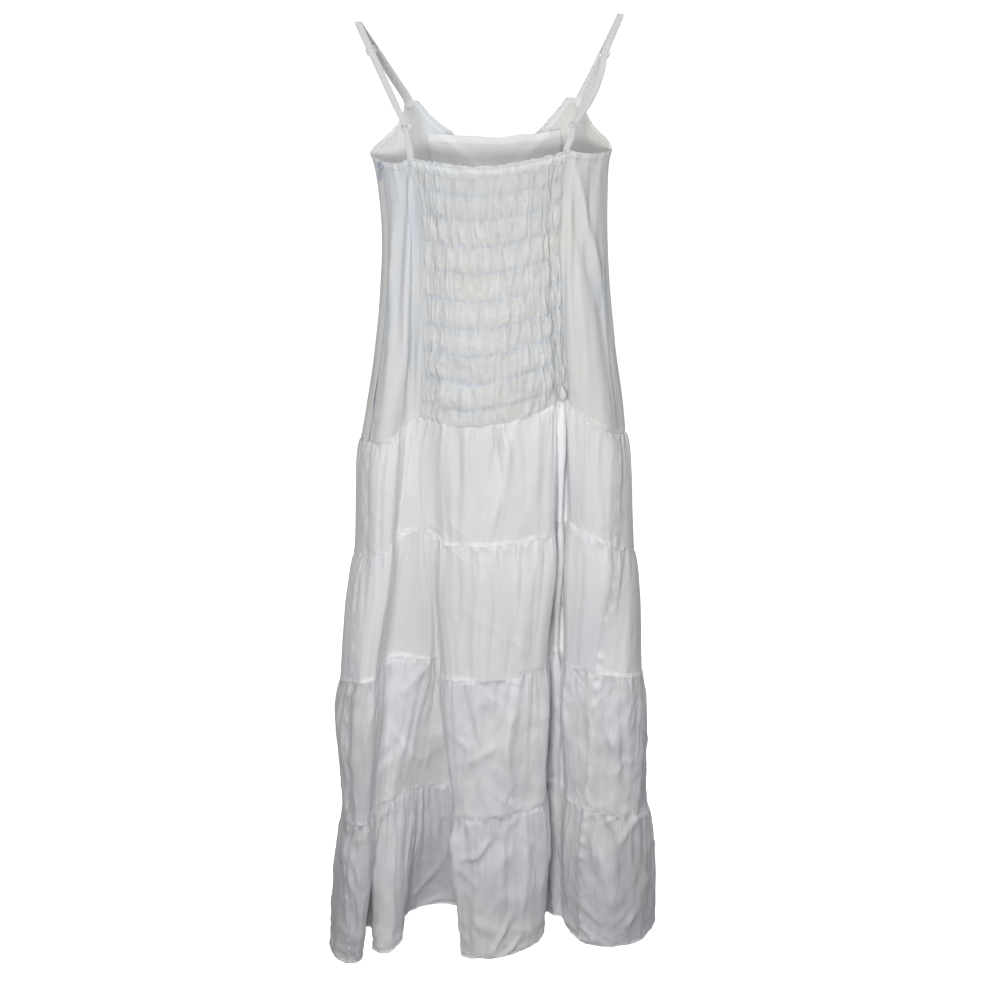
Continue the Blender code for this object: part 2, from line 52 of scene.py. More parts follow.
# ---- driving sizes ----------------------------------------------------------------------------------
BUST_Z = -175.0                          # level of the bust plan
NIP_LEFT, NIP_RIGHT = 0.125, 0.065       # how far the waist is drawn in, as a share of the half width
BELLY = (3.5, 5.0, 6.0, 7.0)             # how far each tier swells below its seam
SEAM_GAP = 0.3                           # clearance between neighbouring pieces
ZIP_HALF = 2.9                           # what the zip takes from the cloth on each side of its seam
SHELL = 0.5                              # thickness of the cloth shells
SINGLE_WALL, SHIRRED_WALL = 1.6, 2.4     # walls of the CAD pieces, plain and gathered
LINES = (
    # The hanging lines of the cloth, in order round the dress.
    # name, bust (x, y), height of the top edge,
    # (x, y, z) at the hip seam, at the three tier seams and at the hem
    ("side_left", (-149, -15), -184,
     (-168, -24, -577), (-178, -40, -740), (-199, -66, -926), (-206, -95, -1137), (-208, -133, -1350)),
    ("left_crest", (-139, -24), -186,
     (-151, -43, -574), (-160, -60, -731), (-183, -85, -919), (-192, -110, -1133), (-198, -137, -1347)),
    ("left_edge", (-129, -31), -186,
     (-132, -45, -569), (-139, -62, -722), (-166, -80, -917), (-178, -106, -1134), (-189, -122, -1348)),
    ("left_cleft", (-120, -37), -184,
     (-117, -25, -549), (-131, -38, -709), (-157, -52, -909), (-173, -80, -1129), (-185, -52, -1337)),
    ("inner_left", (-112, -42), -179,
     (-106, -22, -541), (-118, -34, -706), (-145, -30, -903), (-162, -62, -1121), (-175, -100, -1346)),
    ("panel_left", (-104, -46), -176,
     (-97, -26, -540), (-103, -35, -706), (-112, -30, -904), (-144, -54, -1120), (-154, -112, -1346)),
    ("inner_right", (-92, -49), -178,
     (-88, -31, -540), (-94, -38, -708), (-88, -31, -906), (-124, -38, -1116), (-133, -85, -1342)),
    ("valley_left", (-82, -51), -180,
     (-80, -37, -541), (-86, -40, -709), (-80, -20, -908), (-104, -24, -1115), (-126, -10, -1338)),
    ("valley_right", (-74, -52), -181,
     (-75, -43, -541), (-76, -43, -711), (-71, -24, -910), (-60, -14, -1121), (-52, 4, -1336)),
    ("mid_left", (-66, -53), -182,
     (-68, -50, -541), (-64, -60, -717), (-62, -70, -919), (-51, -88, -1131), (-43, -112, -1349)),
    ("mid_crest", (-30, -56), -185,
     (-26, -61, -543), (-28, -76, -714), (-30, -85, -916), (-30, -101, -1129), (-24, -126, -1346)),
    ("mid_centre", (10, -57), -184,
     (20, -60, -538), (20, -75, -712), (14, -84, -914), (4, -104, -1126), (6, -124, -1346)),
    ("mid_slope", (50, -54), -178,
     (60, -50, -528), (60, -67, -708), (52, -72, -909), (42, -92, -1121), (42, -108, -1346)),
    ("mid_right", (78, -51), -172,
     (87, -38, -519), (86, -54, -706), (77, -54, -908), (76, -70, -1122), (75, -78, -1343)),
    ("deep_left", (86, -49), -170,
     (95, -24, -517), (93, -16, -699), (86, -6, -905), (84, -4, -1119), (85, -2, -1343)),
    ("deep_pleat", (93, -48), -168,
     (101, -30, -517), (100, -24, -697), (96, -14, -900), (97, -12, -1117), (96, -16, -1341)),
    ("panel_right", (102, -45), -166,
     (106, -22, -517), (107, -10, -696), (104, 0, -901), (107, -2, -1120), (106, -14, -1344)),
    ("right_edge", (111, -41), -168,
     (113, -33, -523), (114, -40, -699), (110, -42, -911), (114, -46, -1124), (117, -46, -1345)),
    ("right_crest", (124, -33), -172,
     (134, -44, -540), (138, -61, -704), (126, -58, -909), (122, -56, -1125), (124, -62, -1345)),
    ("right_slope", (138, -24), -174,
     (160, -42, -554), (160, -66, -715), (140, -66, -910), (131, -66, -1126), (129, -71, -1346)),
    ("side_right", (153, -12), -175,
     (178, -22, -566), (177, -54, -725), (155, -72, -911), (141, -76, -1126), (134, -80, -1346)),
    ("wrap_1", (160, -4), -175,
     (186, -9, -569), (190, -42, -732), (175, -76, -912), (160, -85, -1126), (151, -92, -1345)),
    ("wrap_2", (164, 3), -175,
     (190, 2, -570), (199, -26, -738), (196, -72, -916), (183, -94, -1127), (180, -98, -1344)),
    ("wrap_3", (160, 12), -163,
     (190, 12, -572), (205, -8, -744), (213, -52, -922), (211, -84, -1129), (216, -88, -1343)),
    ("wrap_4", (149, 24), -153,
     (186, 22, -573), (205, 10, -748), (221, -22, -930), (228, -50, -1137), (240, -55, -1342)),
    ("arm_right", (138, 34), -138,
     (176, 34, -572), (198, 28, -748), (217, 12, -936), (232, -12, -1142), (250, -15, -1343)),
    ("point_right", (128, 41), -117,
     (162, 44, -570), (184, 46, -746), (202, 45, -938), (218, 32, -1144), (238, 30, -1345)),
    ("neck_right", (114, 46), -111,
     (145, 50, -567), (165, 58, -743), (178, 66, -937), (192, 70, -1144), (205, 72, -1347)),
    ("front_dip_1", (97, 49), -131,
     (124, 50, -564), (138, 46, -740), (146, 40, -935), (152, 38, -1142), (156, 36, -1345)),
    ("front_2", (74, 51), -156,
     (98, 56, -562), (106, 68, -738), (112, 78, -934), (116, 90, -1142), (118, 102, -1347)),
    ("front_3", (40, 53), -188,
     (60, 58, -560), (66, 72, -736), (68, 84, -933), (70, 98, -1142), (66, 110, -1348)),
    ("front_dip_2", (6, 54), -220,
     (20, 55, -559), (26, 52, -734), (28, 46, -931), (28, 42, -1139), (28, 38, -1344)),
    ("front_4", (-26, 53), -190,
     (-12, 56, -560), (-8, 62, -735), (-6, 70, -932), (-6, 76, -1141), (-8, 84, -1346)),
    ("front_5", (-56, 51), -161,
     (-50, 58, -562), (-50, 74, -737), (-50, 90, -935), (-52, 104, -1144), (-54, 118, -1349)),
    ("front_6", (-84, 49), -137,
     (-88, 55, -565), (-92, 64, -740), (-96, 76, -937), (-100, 88, -1145), (-104, 98, -1348)),
    ("neck_left", (-103, 46), -115,
     (-116, 50, -568), (-124, 46, -742), (-130, 42, -938), (-134, 40, -1144), (-138, 38, -1347)),
    ("point_left", (-116, 42), -121,
     (-140, 46, -572), (-152, 54, -746), (-162, 60, -941), (-168, 66, -1147), (-172, 74, -1350)),
    ("arm_left", (-126, 37), -144,
     (-158, 38, -576), (-174, 42, -750), (-190, 42, -944), (-197, 40, -1149), (-206, 44, -1352)),
    ("lap_4", (-140, 28), -159,
     (-172, 26, -578), (-188, 24, -752), (-208, 18, -944), (-213, 8, -1148), (-228, 4, -1352)),
    ("lap_3", (-155, 14), -172,
     (-179, 14, -579), (-194, 8, -752), (-217, -6, -942), (-219, -24, -1146), (-240, -40, -1352)),
    ("lap_2", (-162, 2), -179,
     (-181, 2, -579), (-194, -8, -751), (-218, -28, -938), (-219, -50, -1143), (-241, -80, -1352)),
    ("lap_1", (-158, -7), -182,
     (-177, -11, -578), (-189, -24, -748), (-211, -48, -932), (-214, -76, -1140), (-228, -116, -1352)),
)
FIRST_LEVEL, LEVEL_COUNT = 3, 5
NAME = {row[0]: i for i, row in enumerate(LINES)}
COUNT = len(LINES)
LEVELS = np.array([[row[FIRST_LEVEL + k] for row in LINES] for k in range(LEVEL_COUNT)], float)


# ---- seeded noise ----------------------------------------------------------------------------------
def lattice(ix, iy, seed):
    """Repeatable value from -1 to 1 at each whole-number point."""
    n = (ix.astype(np.int64) * 374761393 + iy.astype(np.int64) * 668265263 + seed * 974711) & 0xFFFFFFFF
    n = ((n ^ (n >> 13)) * 1274126177) & 0xFFFFFFFF
    return ((n ^ (n >> 16)) & 0xFFFF) / 32767.5 - 1.0


def noise(x, y, seed):
    """Smooth value noise of two coordinates: the lattice values blended with a smooth step."""
    x, y = np.broadcast_arrays(np.asarray(x, float), np.asarray(y, float))
    ix, iy = np.floor(x), np.floor(y)
    fx, fy = x - ix, y - iy
    fx, fy = fx * fx * (3 - 2 * fx), fy * fy * (3 - 2 * fy)
    a = lattice(ix, iy, seed) * (1 - fx) + lattice(ix + 1, iy, seed) * fx
    b = lattice(ix, iy + 1, seed) * (1 - fx) + lattice(ix + 1, iy + 1, seed) * fx
    return a * (1 - fy) + b * fy


def bump(t, width):
    """Bell curve of a distance."""
    return np.exp(-(np.asarray(t) / width) ** 2)


def step(t, at, soft):
    """Smooth rise from 0 to 1 about `at`, over `soft`."""
    t = np.clip((np.asarray(t) - at) / soft + 0.5, 0, 1)
    return t * t * (3 - 2 * t)


def ridged(x, y, seed, depth):
    """Folded noise: sharp valleys at -depth between round ridges that reach 2 - depth."""
    return np.abs(noise(x, y, seed)) * 2 - depth


def lead_into(d, other, distance, reach):
    """Relief d that turns into the other relief within reach of a line."""
    share = bump(distance, reach)
    return d * (1 - share) + other * share


# ---- curves -----------------------------------------------------------------------------------------
def hermite(start, end, leave, arrive, t):
    """Cubic from start to end with the given tangents, at the shares t."""
    return ((2 * t**3 - 3 * t**2 + 1) * start + (t**3 - 2 * t**2 + t) * leave
            + (3 * t**2 - 2 * t**3) * end + (t**3 - t**2) * arrive)


def knot_tangents(before, after):
    """Tangents that bisect the spans before and after each knot, as long as the shorter of the two."""
    sizes = [np.linalg.norm(span, axis=1)[:, None] for span in (before, after)]
    middle = before / sizes[0] + after / sizes[1]
    middle /= np.linalg.norm(middle, axis=1)[:, None] + 1e-9
    return middle * np.minimum(*sizes)


def closed_curve(knots, index, share):
    """Smooth closed curve: each point lies a share of the way from the knot of its index to the next."""
    knots = np.asarray(knots, float)
    ahead = np.roll(knots, -1, 0) - knots
    tangent = knot_tangents(np.roll(ahead, 1, 0), ahead)
    return hermite(knots[index], np.roll(knots, -1, 0)[index],
                   tangent[index], np.roll(tangent, -1, 0)[index], share[:, None])


def smooth_path(points, per_span=10):
    """Smooth open path through the points, with per_span steps from each to the next."""
    knots = np.asarray(points, float)
    span = np.diff(knots, axis=0)
    tangent = np.vstack([span[:1], knot_tangents(span[:-1], span[1:]), span[-1:]])[:, None]
    t = np.linspace(0, 1, per_span, endpoint=False)[None, :, None]
    inner = hermite(knots[:-1, None], knots[1:, None], tangent[:-1], tangent[1:], t)
    return np.vstack([inner.reshape(-1, 3), knots[-1:]])


def arc(ring):
    """Distance along a row of points from its first one."""
    steps = np.linalg.norm(np.diff(ring, axis=0), axis=1)
    return np.concatenate([[0], np.cumsum(steps)])


def plan_normals(loop):
    """Outward unit normals of closed loops (last two axes: column, xyz), in the horizontal plane."""
    along = (np.roll(loop, -1, -2) - np.roll(loop, 1, -2))[..., :2]
    along = along / (np.linalg.norm(along, axis=-1, keepdims=True) + 1e-9)
    return np.stack([along[..., 1], -along[..., 0], np.zeros(loop.shape[:-1])], -1)


# ---- the surface of the dress -----------------------------------------------------------------------
def spacing(back, front):
    """Hanging line and share of the way to the next one for every fine column: they lie about `back` mm
    apart behind and round both sides, and `front` mm apart in front."""
    chords = (np.roll(LEVELS, -1, 1) - LEVELS)[..., :2]
    longest = np.linalg.norm(chords, axis=-1).max(0)
    line = np.arange(COUNT)
    seen = (line < NAME["arm_right"]) | (line >= NAME["lap_3"])
    counts = np.maximum(2, np.ceil(longest / np.where(seen, back, front))).astype(int)
    share = np.concatenate([np.arange(n) / n for n in counts])
    return np.repeat(line, counts), share, np.concatenate([[0], np.cumsum(counts)])


class Loom:
    """One sampling of the garment: its plan at the bust and at the five seam levels."""

    def __init__(self, back, front):
        self.index, self.share, self.starts = spacing(back, front)
        self.total = len(self.index)
        self.bust = self.curve([row[1] for row in LINES])
        self.top = self.curve([(i * 10.0, row[2]) for i, row in enumerate(LINES)])[:, 1]
        # the closing stretch of the top edge joins the last line straight to the first
        last = self.index == COUNT - 1
        self.top[last] = LINES[-1][2] + (LINES[0][2] - LINES[-1][2]) * self.share[last]
        self.levels = [self.curve(level) for level in LEVELS]
        self.run = [arc(level) for level in self.levels]

    def curve(self, knots):
        """Fine columns of the closed curve through one knot for each hanging line."""
        return closed_curve(knots, self.index, self.share)

    def seam(self, level, columns):
        """Relief and height of a seam line, the same for the pieces above and below it."""
        run = self.run[level][columns][None, :]
        relief = 1.0 * noise(run / 7.5, level, 901) + 0.5 * noise(run / 3.4, level, 902)
        height = 1.0 * noise(run / 16, level, 903) + 0.45 * noise(run / 5, level, 904)
        return relief, height

    def columns(self, first, last):
        """Columns from one hanging line to another; side_left is also the end of the round."""
        a = self.starts[NAME[first]]
        b = self.starts[COUNT] if last == "side_left" else self.starts[NAME[last]]
        return np.arange(a, b + 1) % self.total

    def patch(self, rings, first, last):
        """Points, outward normals and columns of the rings between two hanging lines."""
        columns = self.columns(first, last)
        return rings[:, columns], plan_normals(rings)[:, columns], columns

    def bodice(self, heights):
        """Rings of bodice points at heights (rows, columns): bust plan to hip plan, drawn in at the waist."""
        hip = self.levels[0]
        share = (BUST_Z - heights) / (BUST_Z - hip[:, 2])
        plan = self.bust + (hip[:, :2] - self.bust) * share[..., None]
        nip = np.sin(math.pi * np.clip(share, 0, 1) ** 0.7)
        x = plan[..., 0] * (1 - nip * np.where(plan[..., 0] < 0, NIP_LEFT, NIP_RIGHT))
        return np.stack([x, plan[..., 1], heights], -1)

    def skirt(self, tier, shares):
        """Rings of a tier at shares of its height; each swells just below its gathering seam."""
        upper, lower = self.levels[tier], self.levels[tier + 1]
        above, below = self.levels[max(tier - 1, 0)], self.levels[min(tier + 2, LEVEL_COUNT - 1)]
        t = np.asarray(shares)[:, None, None]
        ring = hermite(upper, lower, (lower - above) / 2, (below - upper) / 2, t)
        return ring + plan_normals(ring) * (BELLY[tier] * 6.75 * t * (1 - t)**2)


# ---- meshes -----------------------------------------------------------------------------------------
def mesh_object(name, verts, faces, material, uv=None, tone=None, blue=None, gather=None):
    """Object from points in millimetres, faces, and its per-point tone, blue and gather values."""
    mesh = bpy.data.meshes.new(name)
    verts = np.asarray(verts, float).reshape(-1, 3) * MM
    faces = np.asarray(faces)
    mesh.vertices.add(len(verts))
    mesh.vertices.foreach_set("co", verts.ravel())
    mesh.loops.add(faces.size)
    mesh.loops.foreach_set("vertex_index", faces.ravel().astype(np.int32))
    mesh.polygons.add(len(faces))
    mesh.polygons.foreach_set("loop_start", np.arange(0, faces.size, faces.shape[1], dtype=np.int32))
    mesh.polygons.foreach_set("use_smooth", np.ones(len(faces), bool))
    mesh.update(calc_edges=True)
    for label, values, plain in (("tone", tone, 1.0), ("blue", blue, 0.0), ("gather", gather, 0.0)):
        layer = mesh.attributes.new(label, "FLOAT", "POINT")
        layer.data.foreach_set("value", np.full(len(verts), plain) if values is None else np.ravel(values))
    if uv is not None:
        layer = mesh.uv_layers.new(name="cloth")
        layer.data.foreach_set("uv", (np.asarray(uv).reshape(-1, 2)[faces.ravel()]).ravel())
    mesh.materials.append(material)
    mesh.validate()
    obj = bpy.data.objects.new(name, mesh)
    bpy.context.scene.collection.objects.link(obj)
    return obj


def grid_faces(rows, cols, wrap=False, ring=False):
    """Quads of a grid whose rows run down and whose columns run along the loop, facing out.  wrap joins
    the last column to the first, and ring the last row to the first."""
    r = np.arange(rows if ring else rows - 1)[:, None]
    c = np.arange(cols if wrap else cols - 1)[None, :]
    r1, c1 = (r + 1) % rows, (c + 1) % cols
    return np.stack([r * cols + c, r1 * cols + c, r1 * cols + c1, r * cols + c1], -1).reshape(-1, 4)


def cloth_uv(across, down):
    """Places on the cloth in metres, from distances across it and down it."""
    return np.stack(np.broadcast_arrays(across * MM, -down * MM), -1)


def edit(mesh, change):
    """Hand the mesh to `change` as a bmesh, and put the result back."""
    bm = bmesh.new()
    bm.from_mesh(mesh)
    change(bm)
    bm.to_mesh(mesh)
    bm.free()


def crisp_rim(bm):
    """Mark the open edges of a sheet sharp, so the shading does not roll over the cut."""
    for edge in bm.edges:
        if edge.is_boundary:
            edge.smooth = False


def close_ends(bm):
    """Fill the open ends of a swept form and turn its faces outwards."""
    bmesh.ops.holes_fill(bm, edges=[e for e in bm.edges if e.is_boundary], sides=0)
    bmesh.ops.recalc_face_normals(bm, faces=bm.faces)


def cover(obj, node):
    """The object belongs to the dress and takes the place of one CAD node."""
    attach(obj, "dress")
    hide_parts(node)


def grid_area(points):
    """Area of a grid of points: half the cross product of two sides, for the two triangles of each quad."""
    right, low = points[:-1, 1:], points[1:, :-1]
    halves = [np.cross(low - corner, right - corner) for corner in (points[:-1, :-1], points[1:, 1:])]
    return float(sum(np.linalg.norm(half, axis=-1) for half in halves).sum()) / 2


def sew(name, node, points, normals, d, material, tone, blue, gather=None, thickness=SHELL):
    """One sheet of cloth: the grid moved out by its relief d and given a solid thickness inwards, its cut
    edges kept crisp.  It works out its width along the loop, its area by its length down, and leaves it
    unused."""
    points = points + normals * d[..., None]
    rows, cols = points.shape[:2]
    uv = cloth_uv(arc(points[rows // 2])[None, :], arc(points[:, cols // 2])[:, None])
    values = [None if v is None else np.broadcast_to(v, (rows, cols)) for v in (tone, blue, gather)]
    obj = mesh_object(name, points, grid_faces(rows, cols), material, uv, *values)
    edit(obj.data, crisp_rim)
    solid = obj.modifiers.new("thickness", "SOLIDIFY")
    solid.thickness, solid.offset, solid.use_even_offset = thickness * MM, -1.0, False
    cover(obj, node)
    length = float(np.linalg.norm(np.diff(points, axis=0), axis=-1).sum(0).mean())
    grid_area(points) / length * MM


# ---- materials --------------------------------------------------------------------------------------
class Finish:
    """A material and short ways to add nodes to it."""

    def __init__(self, name):
        self.material = bpy.data.materials.new(name)
        self.material.use_nodes = True
        self.shader = self.material.node_tree.nodes["Principled BSDF"]

    def fill(self, node, inputs):
        """Link the inputs that are sockets, and set the others."""
        for key, value in inputs.items():
            if isinstance(value, bpy.types.NodeSocket):
                self.material.node_tree.links.new(value, node.inputs[key])
            else:
                node.inputs[key].default_value = value

    def add(self, kind, inputs=None, out=0, **settings):
        """New node with its settings and inputs; gives back one of its outputs."""
        node = self.material.node_tree.nodes.new("ShaderNode" + kind)
        for key, value in settings.items():
            setattr(node, key, value)
        self.fill(node, inputs or {})
        return node.outputs[out]

    def sum(self, operation, *inputs, clamp=False):
        """Output of a Math node."""
        return self.add("Math", dict(enumerate(inputs)), operation=operation, use_clamp=clamp)

    def bump(self, height, distance, strength, below=None):
        """Bump of a height, on top of another bump."""
        inputs = {"Height": height, "Distance": distance, "Strength": strength}
        return self.add("Bump", inputs if below is None else {**inputs, "Normal": below})


def cotton(name, colour, cool, crumple):
    """Thin plain-weave cotton.  Its colour drifts towards the cool one, more so where `blue` says, and is
    made lighter or darker by `tone`.  Small crumples, the fine gathers that run down the cloth where
    `gather` says, and the threads are bumps on top of each other; along the gathers, painted shade and
    painted light darken and lighten the colour as well."""
    cloth = Finish(name)
    tone, blue, gather = (cloth.add("Attribute", out="Fac", attribute_name=label)
                          for label in ("tone", "blue", "gather"))
    place = cloth.add("TexCoord", out="Object")
    uv = cloth.add("UVMap", uv_map="cloth")
    long_way = cloth.add("Mapping", {"Vector": uv, "Scale": (1.0, 0.32, 1.0)})
    down_way = cloth.add("Mapping", {"Vector": uv, "Scale": (235.0, 20.0, 1.0)})
    drift = cloth.add("TexNoise", {"Vector": place, "Scale": 7.0, "Detail": 3.0}, "Fac")
    crease = cloth.add(
        "TexNoise", {"Vector": long_way, "Scale": 95.0, "Detail": 4.0, "Roughness": 0.6}, "Fac")
    thread = cloth.add("TexNoise", {"Vector": uv, "Scale": 900.0, "Detail": 1.0}, "Fac")
    rays = cloth.add("TexNoise", {"Vector": down_way, "Scale": 1.0, "Detail": 2.5}, "Fac")
    share = cloth.sum("ADD", cloth.sum("MULTIPLY_ADD", drift, 1.6, -0.55), blue, clamp=True)
    mixed = cloth.add("Mix", {0: share, 6: (*colour, 1), 7: (*cool, 1)}, 2, data_type="RGBA")
    # painted shade and light: the colour darker and lighter along the rays of the gathers
    valley = cloth.sum("MULTIPLY", cloth.sum("SUBTRACT", rays, 0.5), gather)
    lightness = cloth.sum("MULTIPLY_ADD", valley, 0.42, tone)
    low = cloth.bump(crease, 0.0014, crumple)
    middle = cloth.bump(cloth.sum("MULTIPLY", rays, gather), 0.0036, 1.0, low)
    cloth.fill(cloth.shader, {
        "Base Color": cloth.add("VectorMath", {0: mixed, "Scale": lightness}, operation="SCALE"),
        "Normal": cloth.bump(thread, 0.0003, 0.3, middle),
        "Roughness": 0.82,
        "Specular IOR Level": 0.25,
        "Sheen Weight": 0.12,
        "Sheen Roughness": 0.5,
    })
    return cloth.material


def plain(name, colour, roughness, **more):
    """Finish of one colour; `more` names further sockets with _ for each space."""
    finish = Finish(name)
    finish.fill(finish.shader, {"Base Color": (*colour, 1), "Roughness": roughness})
    finish.fill(finish.shader, {key.replace("_", " "): value for key, value in more.items()})
    return finish.material


# COTTON is a darker copy of the skirt's white cotton, the same cloth: painted shade over the whole bodice
COTTON = cotton("cotton", (0.672, 0.668, 0.655), (0.618, 0.655, 0.704), 0.75)
SKIRT_COTTON = cotton("skirt_cotton", (0.752, 0.748, 0.742), (0.704, 0.700, 0.740), 0.8)
STRAP_COTTON = cotton("strap_cotton", (0.60, 0.605, 0.60), (0.56, 0.585, 0.61), 0.3)
ZIP_TAPE = cotton("zip_tape", (0.60, 0.62, 0.66), (0.50, 0.54, 0.62), 0.1)
CLEAR = plain("clear_plastic", (0.80, 0.83, 0.86), 0.12, Transmission_Weight=0.55)
ZIP = plain("zip_plastic", (0.42, 0.45, 0.52), 0.4)


# ---- creases: (x, z) along the crease, half width, height (+ ridge, - trough) ------------------------
BACK_CREASES = (
    # left side back: folds that fan down from the strap
    (((-106, -172), (-122, -330), (-127, -440)), 4.5, -3.6),
    (((-104, -176), (-109, -290), (-117, -455), (-121, -530)), 3.5, 3.2),
    (((-101, -205), (-103, -320), (-106, -530)), 3.0, -3.0),
    (((-128, -250), (-134, -400), (-146, -540)), 6.0, 2.2),
    # right side back: long diagonal fold and a soft ridge beside the panel
    (((107, -170), (117, -205), (132, -275), (148, -335), (168, -410), (180, -520)), 5.0, 4.6),
    (((100, -180), (122, -290), (140, -345), (160, -420), (172, -520)), 8.0, -3.2),
    (((109, -200), (107, -345), (119, -500)), 4.5, 3.0),
    (((122, -330), (128, -430), (140, -540)), 7.0, 2.4),
    # first tier, centre
    (((29, -540), (14, -640), (-5, -708)), 8.0, 5.0),
    (((14, -545), (0, -620)), 4.5, -3.4),
    (((-46, -545), (-42, -640)), 6.0, -3.0),
    (((62, -535), (58, -690)), 7.0, 2.6),
    # second tier, centre
    (((-10, -735), (-20, -830), (-28, -905)), 7.0, 4.2),
    (((38, -735), (42, -905)), 8.0, 4.0),
    (((66, -730), (58, -900)), 5.0, -3.0),
    (((-44, -740), (-50, -860)), 6.0, -2.6),
    # third tier: soft creases that cross the gathers
    (((-40, -930), (-20, -1010), (-34, -1090)), 6.0, -4.0),
    (((30, -935), (22, -1020), (34, -1105)), 6.0, 4.2),
    (((-34, -1040), (14, -1010)), 5.0, 3.2),
    (((-150, -1000), (-112, -1060), (-96, -1075)), 6.0, 4.0),
    (((-178, -940), (-186, -1010), (-178, -1080)), 4.5, -4.0),
    (((128, -950), (140, -1040), (150, -1100)), 6.0, -3.8),
    # fourth tier: the crease that folds over like a flap
    (((-48, -1192), (-18, -1181), (4, -1148)), 4.0, 4.6),
    (((-46, -1199), (-13, -1189), (9, -1157)), 3.5, -4.4),
    (((-36, -1140), (-26, -1240), (-38, -1330)), 6.0, -3.4),
    (((46, -1130), (52, -1230), (40, -1320)), 6.5, 4.0),
    (((-192, -1140), (-200, -1230), (-196, -1320)), 5.0, -4.6),
    (((-204, -1170), (-188, -1230)), 4.0, 3.6),
    (((160, -1128), (184, -1180), (205, -1250)), 8.0, -5.5),
    (((150, -1150), (172, -1230), (190, -1300)), 11.0, 6.0),
    (((205, -1135), (222, -1230), (214, -1320)), 6.0, -4.4),
    (((186, -1320), (214, -1295), (232, -1240)), 7.0, 4.0),
    (((140, -1160), (150, -1240), (140, -1310)), 5.0, -3.0),
    (((186, -935), (190, -1010), (198, -1090)), 5.0, -5.0),
    (((172, -935), (164, -985), (184, -1030)), 6.0, 4.0),
    (((176, -1062), (196, -1040), (214, -1046)), 5.0, 3.4),
    (((-230, -960), (-214, -1010), (-206, -1060)), 5.0, 4.0),
    (((-232, -1180), (-214, -1240), (-200, -1300)), 6.0, -5.0),
    (((-226, -1150), (-208, -1200), (-192, -1270)), 5.0, 4.6),
)


def near_creases(points, creases=BACK_CREASES):
    """Relief of the creases at the points: a bell across each line, fading at its two ends."""
    x, z = points[..., 0], points[..., 2]
    total = np.zeros(x.shape)
    for path, width, height in creases:
        path = np.asarray(path, float)
        spans = np.linalg.norm(np.diff(path, axis=0), axis=1)
        length = spans.sum()
        best = np.full(x.shape, np.inf)
        along = np.zeros(x.shape)
        gone = 0.0
        for (x0, z0), (x1, z1), span in zip(path[:-1], path[1:], spans):
            t = np.clip(((x - x0) * (x1 - x0) + (z - z0) * (z1 - z0)) / span**2, 0, 1)
            away = np.hypot(x - x0 - t * (x1 - x0), z - z0 - t * (z1 - z0))
            closer = away < best
            along = np.where(closer, gone + t * span, along)
            best = np.where(closer, away, best)
            gone += span
        fade = step(along, length * 0.10, length * 0.20) * (1 - step(along, length * 0.86, length * 0.28))
        total += height * bump(best, width) * (0.25 + 0.75 * fade)
    return total


# ---- skirt ------------------------------------------------------------------------------------------
TIERS = (
    # heights of the long folds and of the crumple, painted shade and light that follow the relief, pucker and
    # whiteness of the side seams, strength of the blue, and how much lighter the whole tier is painted:
    # painted light and shade
    dict(folds=3.0, crumple=0.9, shade=0.004, pucker=0.8, white=0.13, blue=0.0, lighter=-0.01),
    dict(folds=2.6, crumple=1.0, shade=0.005, pucker=1.1, white=0.17, blue=0.18, lighter=0.03),
    dict(folds=3.0, crumple=3.4, shade=0.007, pucker=1.8, white=0.20, blue=0.36, lighter=0.01),
    dict(folds=3.2, crumple=4.8, shade=0.008, pucker=2.8, white=0.24, blue=0.54, lighter=-0.035),
)
HEM_TIER = len(TIERS) - 1
CRUMPLE_RUNS = ((0.6, 36, 1.0), (-0.9, 27, 0.9), (0.15, 19, 0.55), (-0.4, 13, 0.3))   # turn, size, share
RECESS_X = 98.0                          # middle of the deep recess right of the centre lobe
LEFT_LOBE_X, RIGHT_LOBE_X = -150.0, 130.0     # where the two outer lobes begin to turn away


def tier_relief(a, down, cut, seed):
    """Gathers that run down from the seam above, long soft folds and crumple, with the painted shade that
    lies in the gathers, for the colour."""
    b = a + 7.0 * noise(a / 60, down / 90, seed + 11)
    reach = 16 + 40 * np.clip(noise(a / 17, 0, seed + 1) + 0.3, 0, 1.2)
    ridges = ridged(b / 6.2, down / 150, seed + 2, 0.7)
    d = 2.9 * ridges * np.exp(-down / reach)
    folds = ridged(b / 15, down / 260, seed + 4, 0.6) + 0.8 * noise(b / 9.5, down / 200, seed + 5)
    d += cut["folds"] * folds * (1 - np.exp(-down / 16)) * np.exp(-down / 190)
    d += 4.2 * noise(b / 38, down / 400, seed + 6) * np.minimum(down / 60, 1)
    for turn, size, part in CRUMPLE_RUNS:
        across = (a * math.cos(turn) + down * math.sin(turn)) / size
        length = (down * math.cos(turn) - a * math.sin(turn)) / (size * 2.4)
        crease = 1 - np.abs(noise(across, length, seed + 7 + size)) * 3.4
        where = np.clip(noise(a / 44, down / 50, seed + 8 + size) + 0.2, 0, 1)
        d += cut["crumple"] * part * np.clip(crease, -0.3, 1) * where
    d += cut["crumple"] * 0.2 * noise(a / 9, down / 15, seed + 9)
    # painted shade: darker in the valleys of the gathers, fading down from the seam
    return d, 0.055 * np.clip(0.25 - ridges, 0, 1) * np.exp(-down / (reach * 0.8))


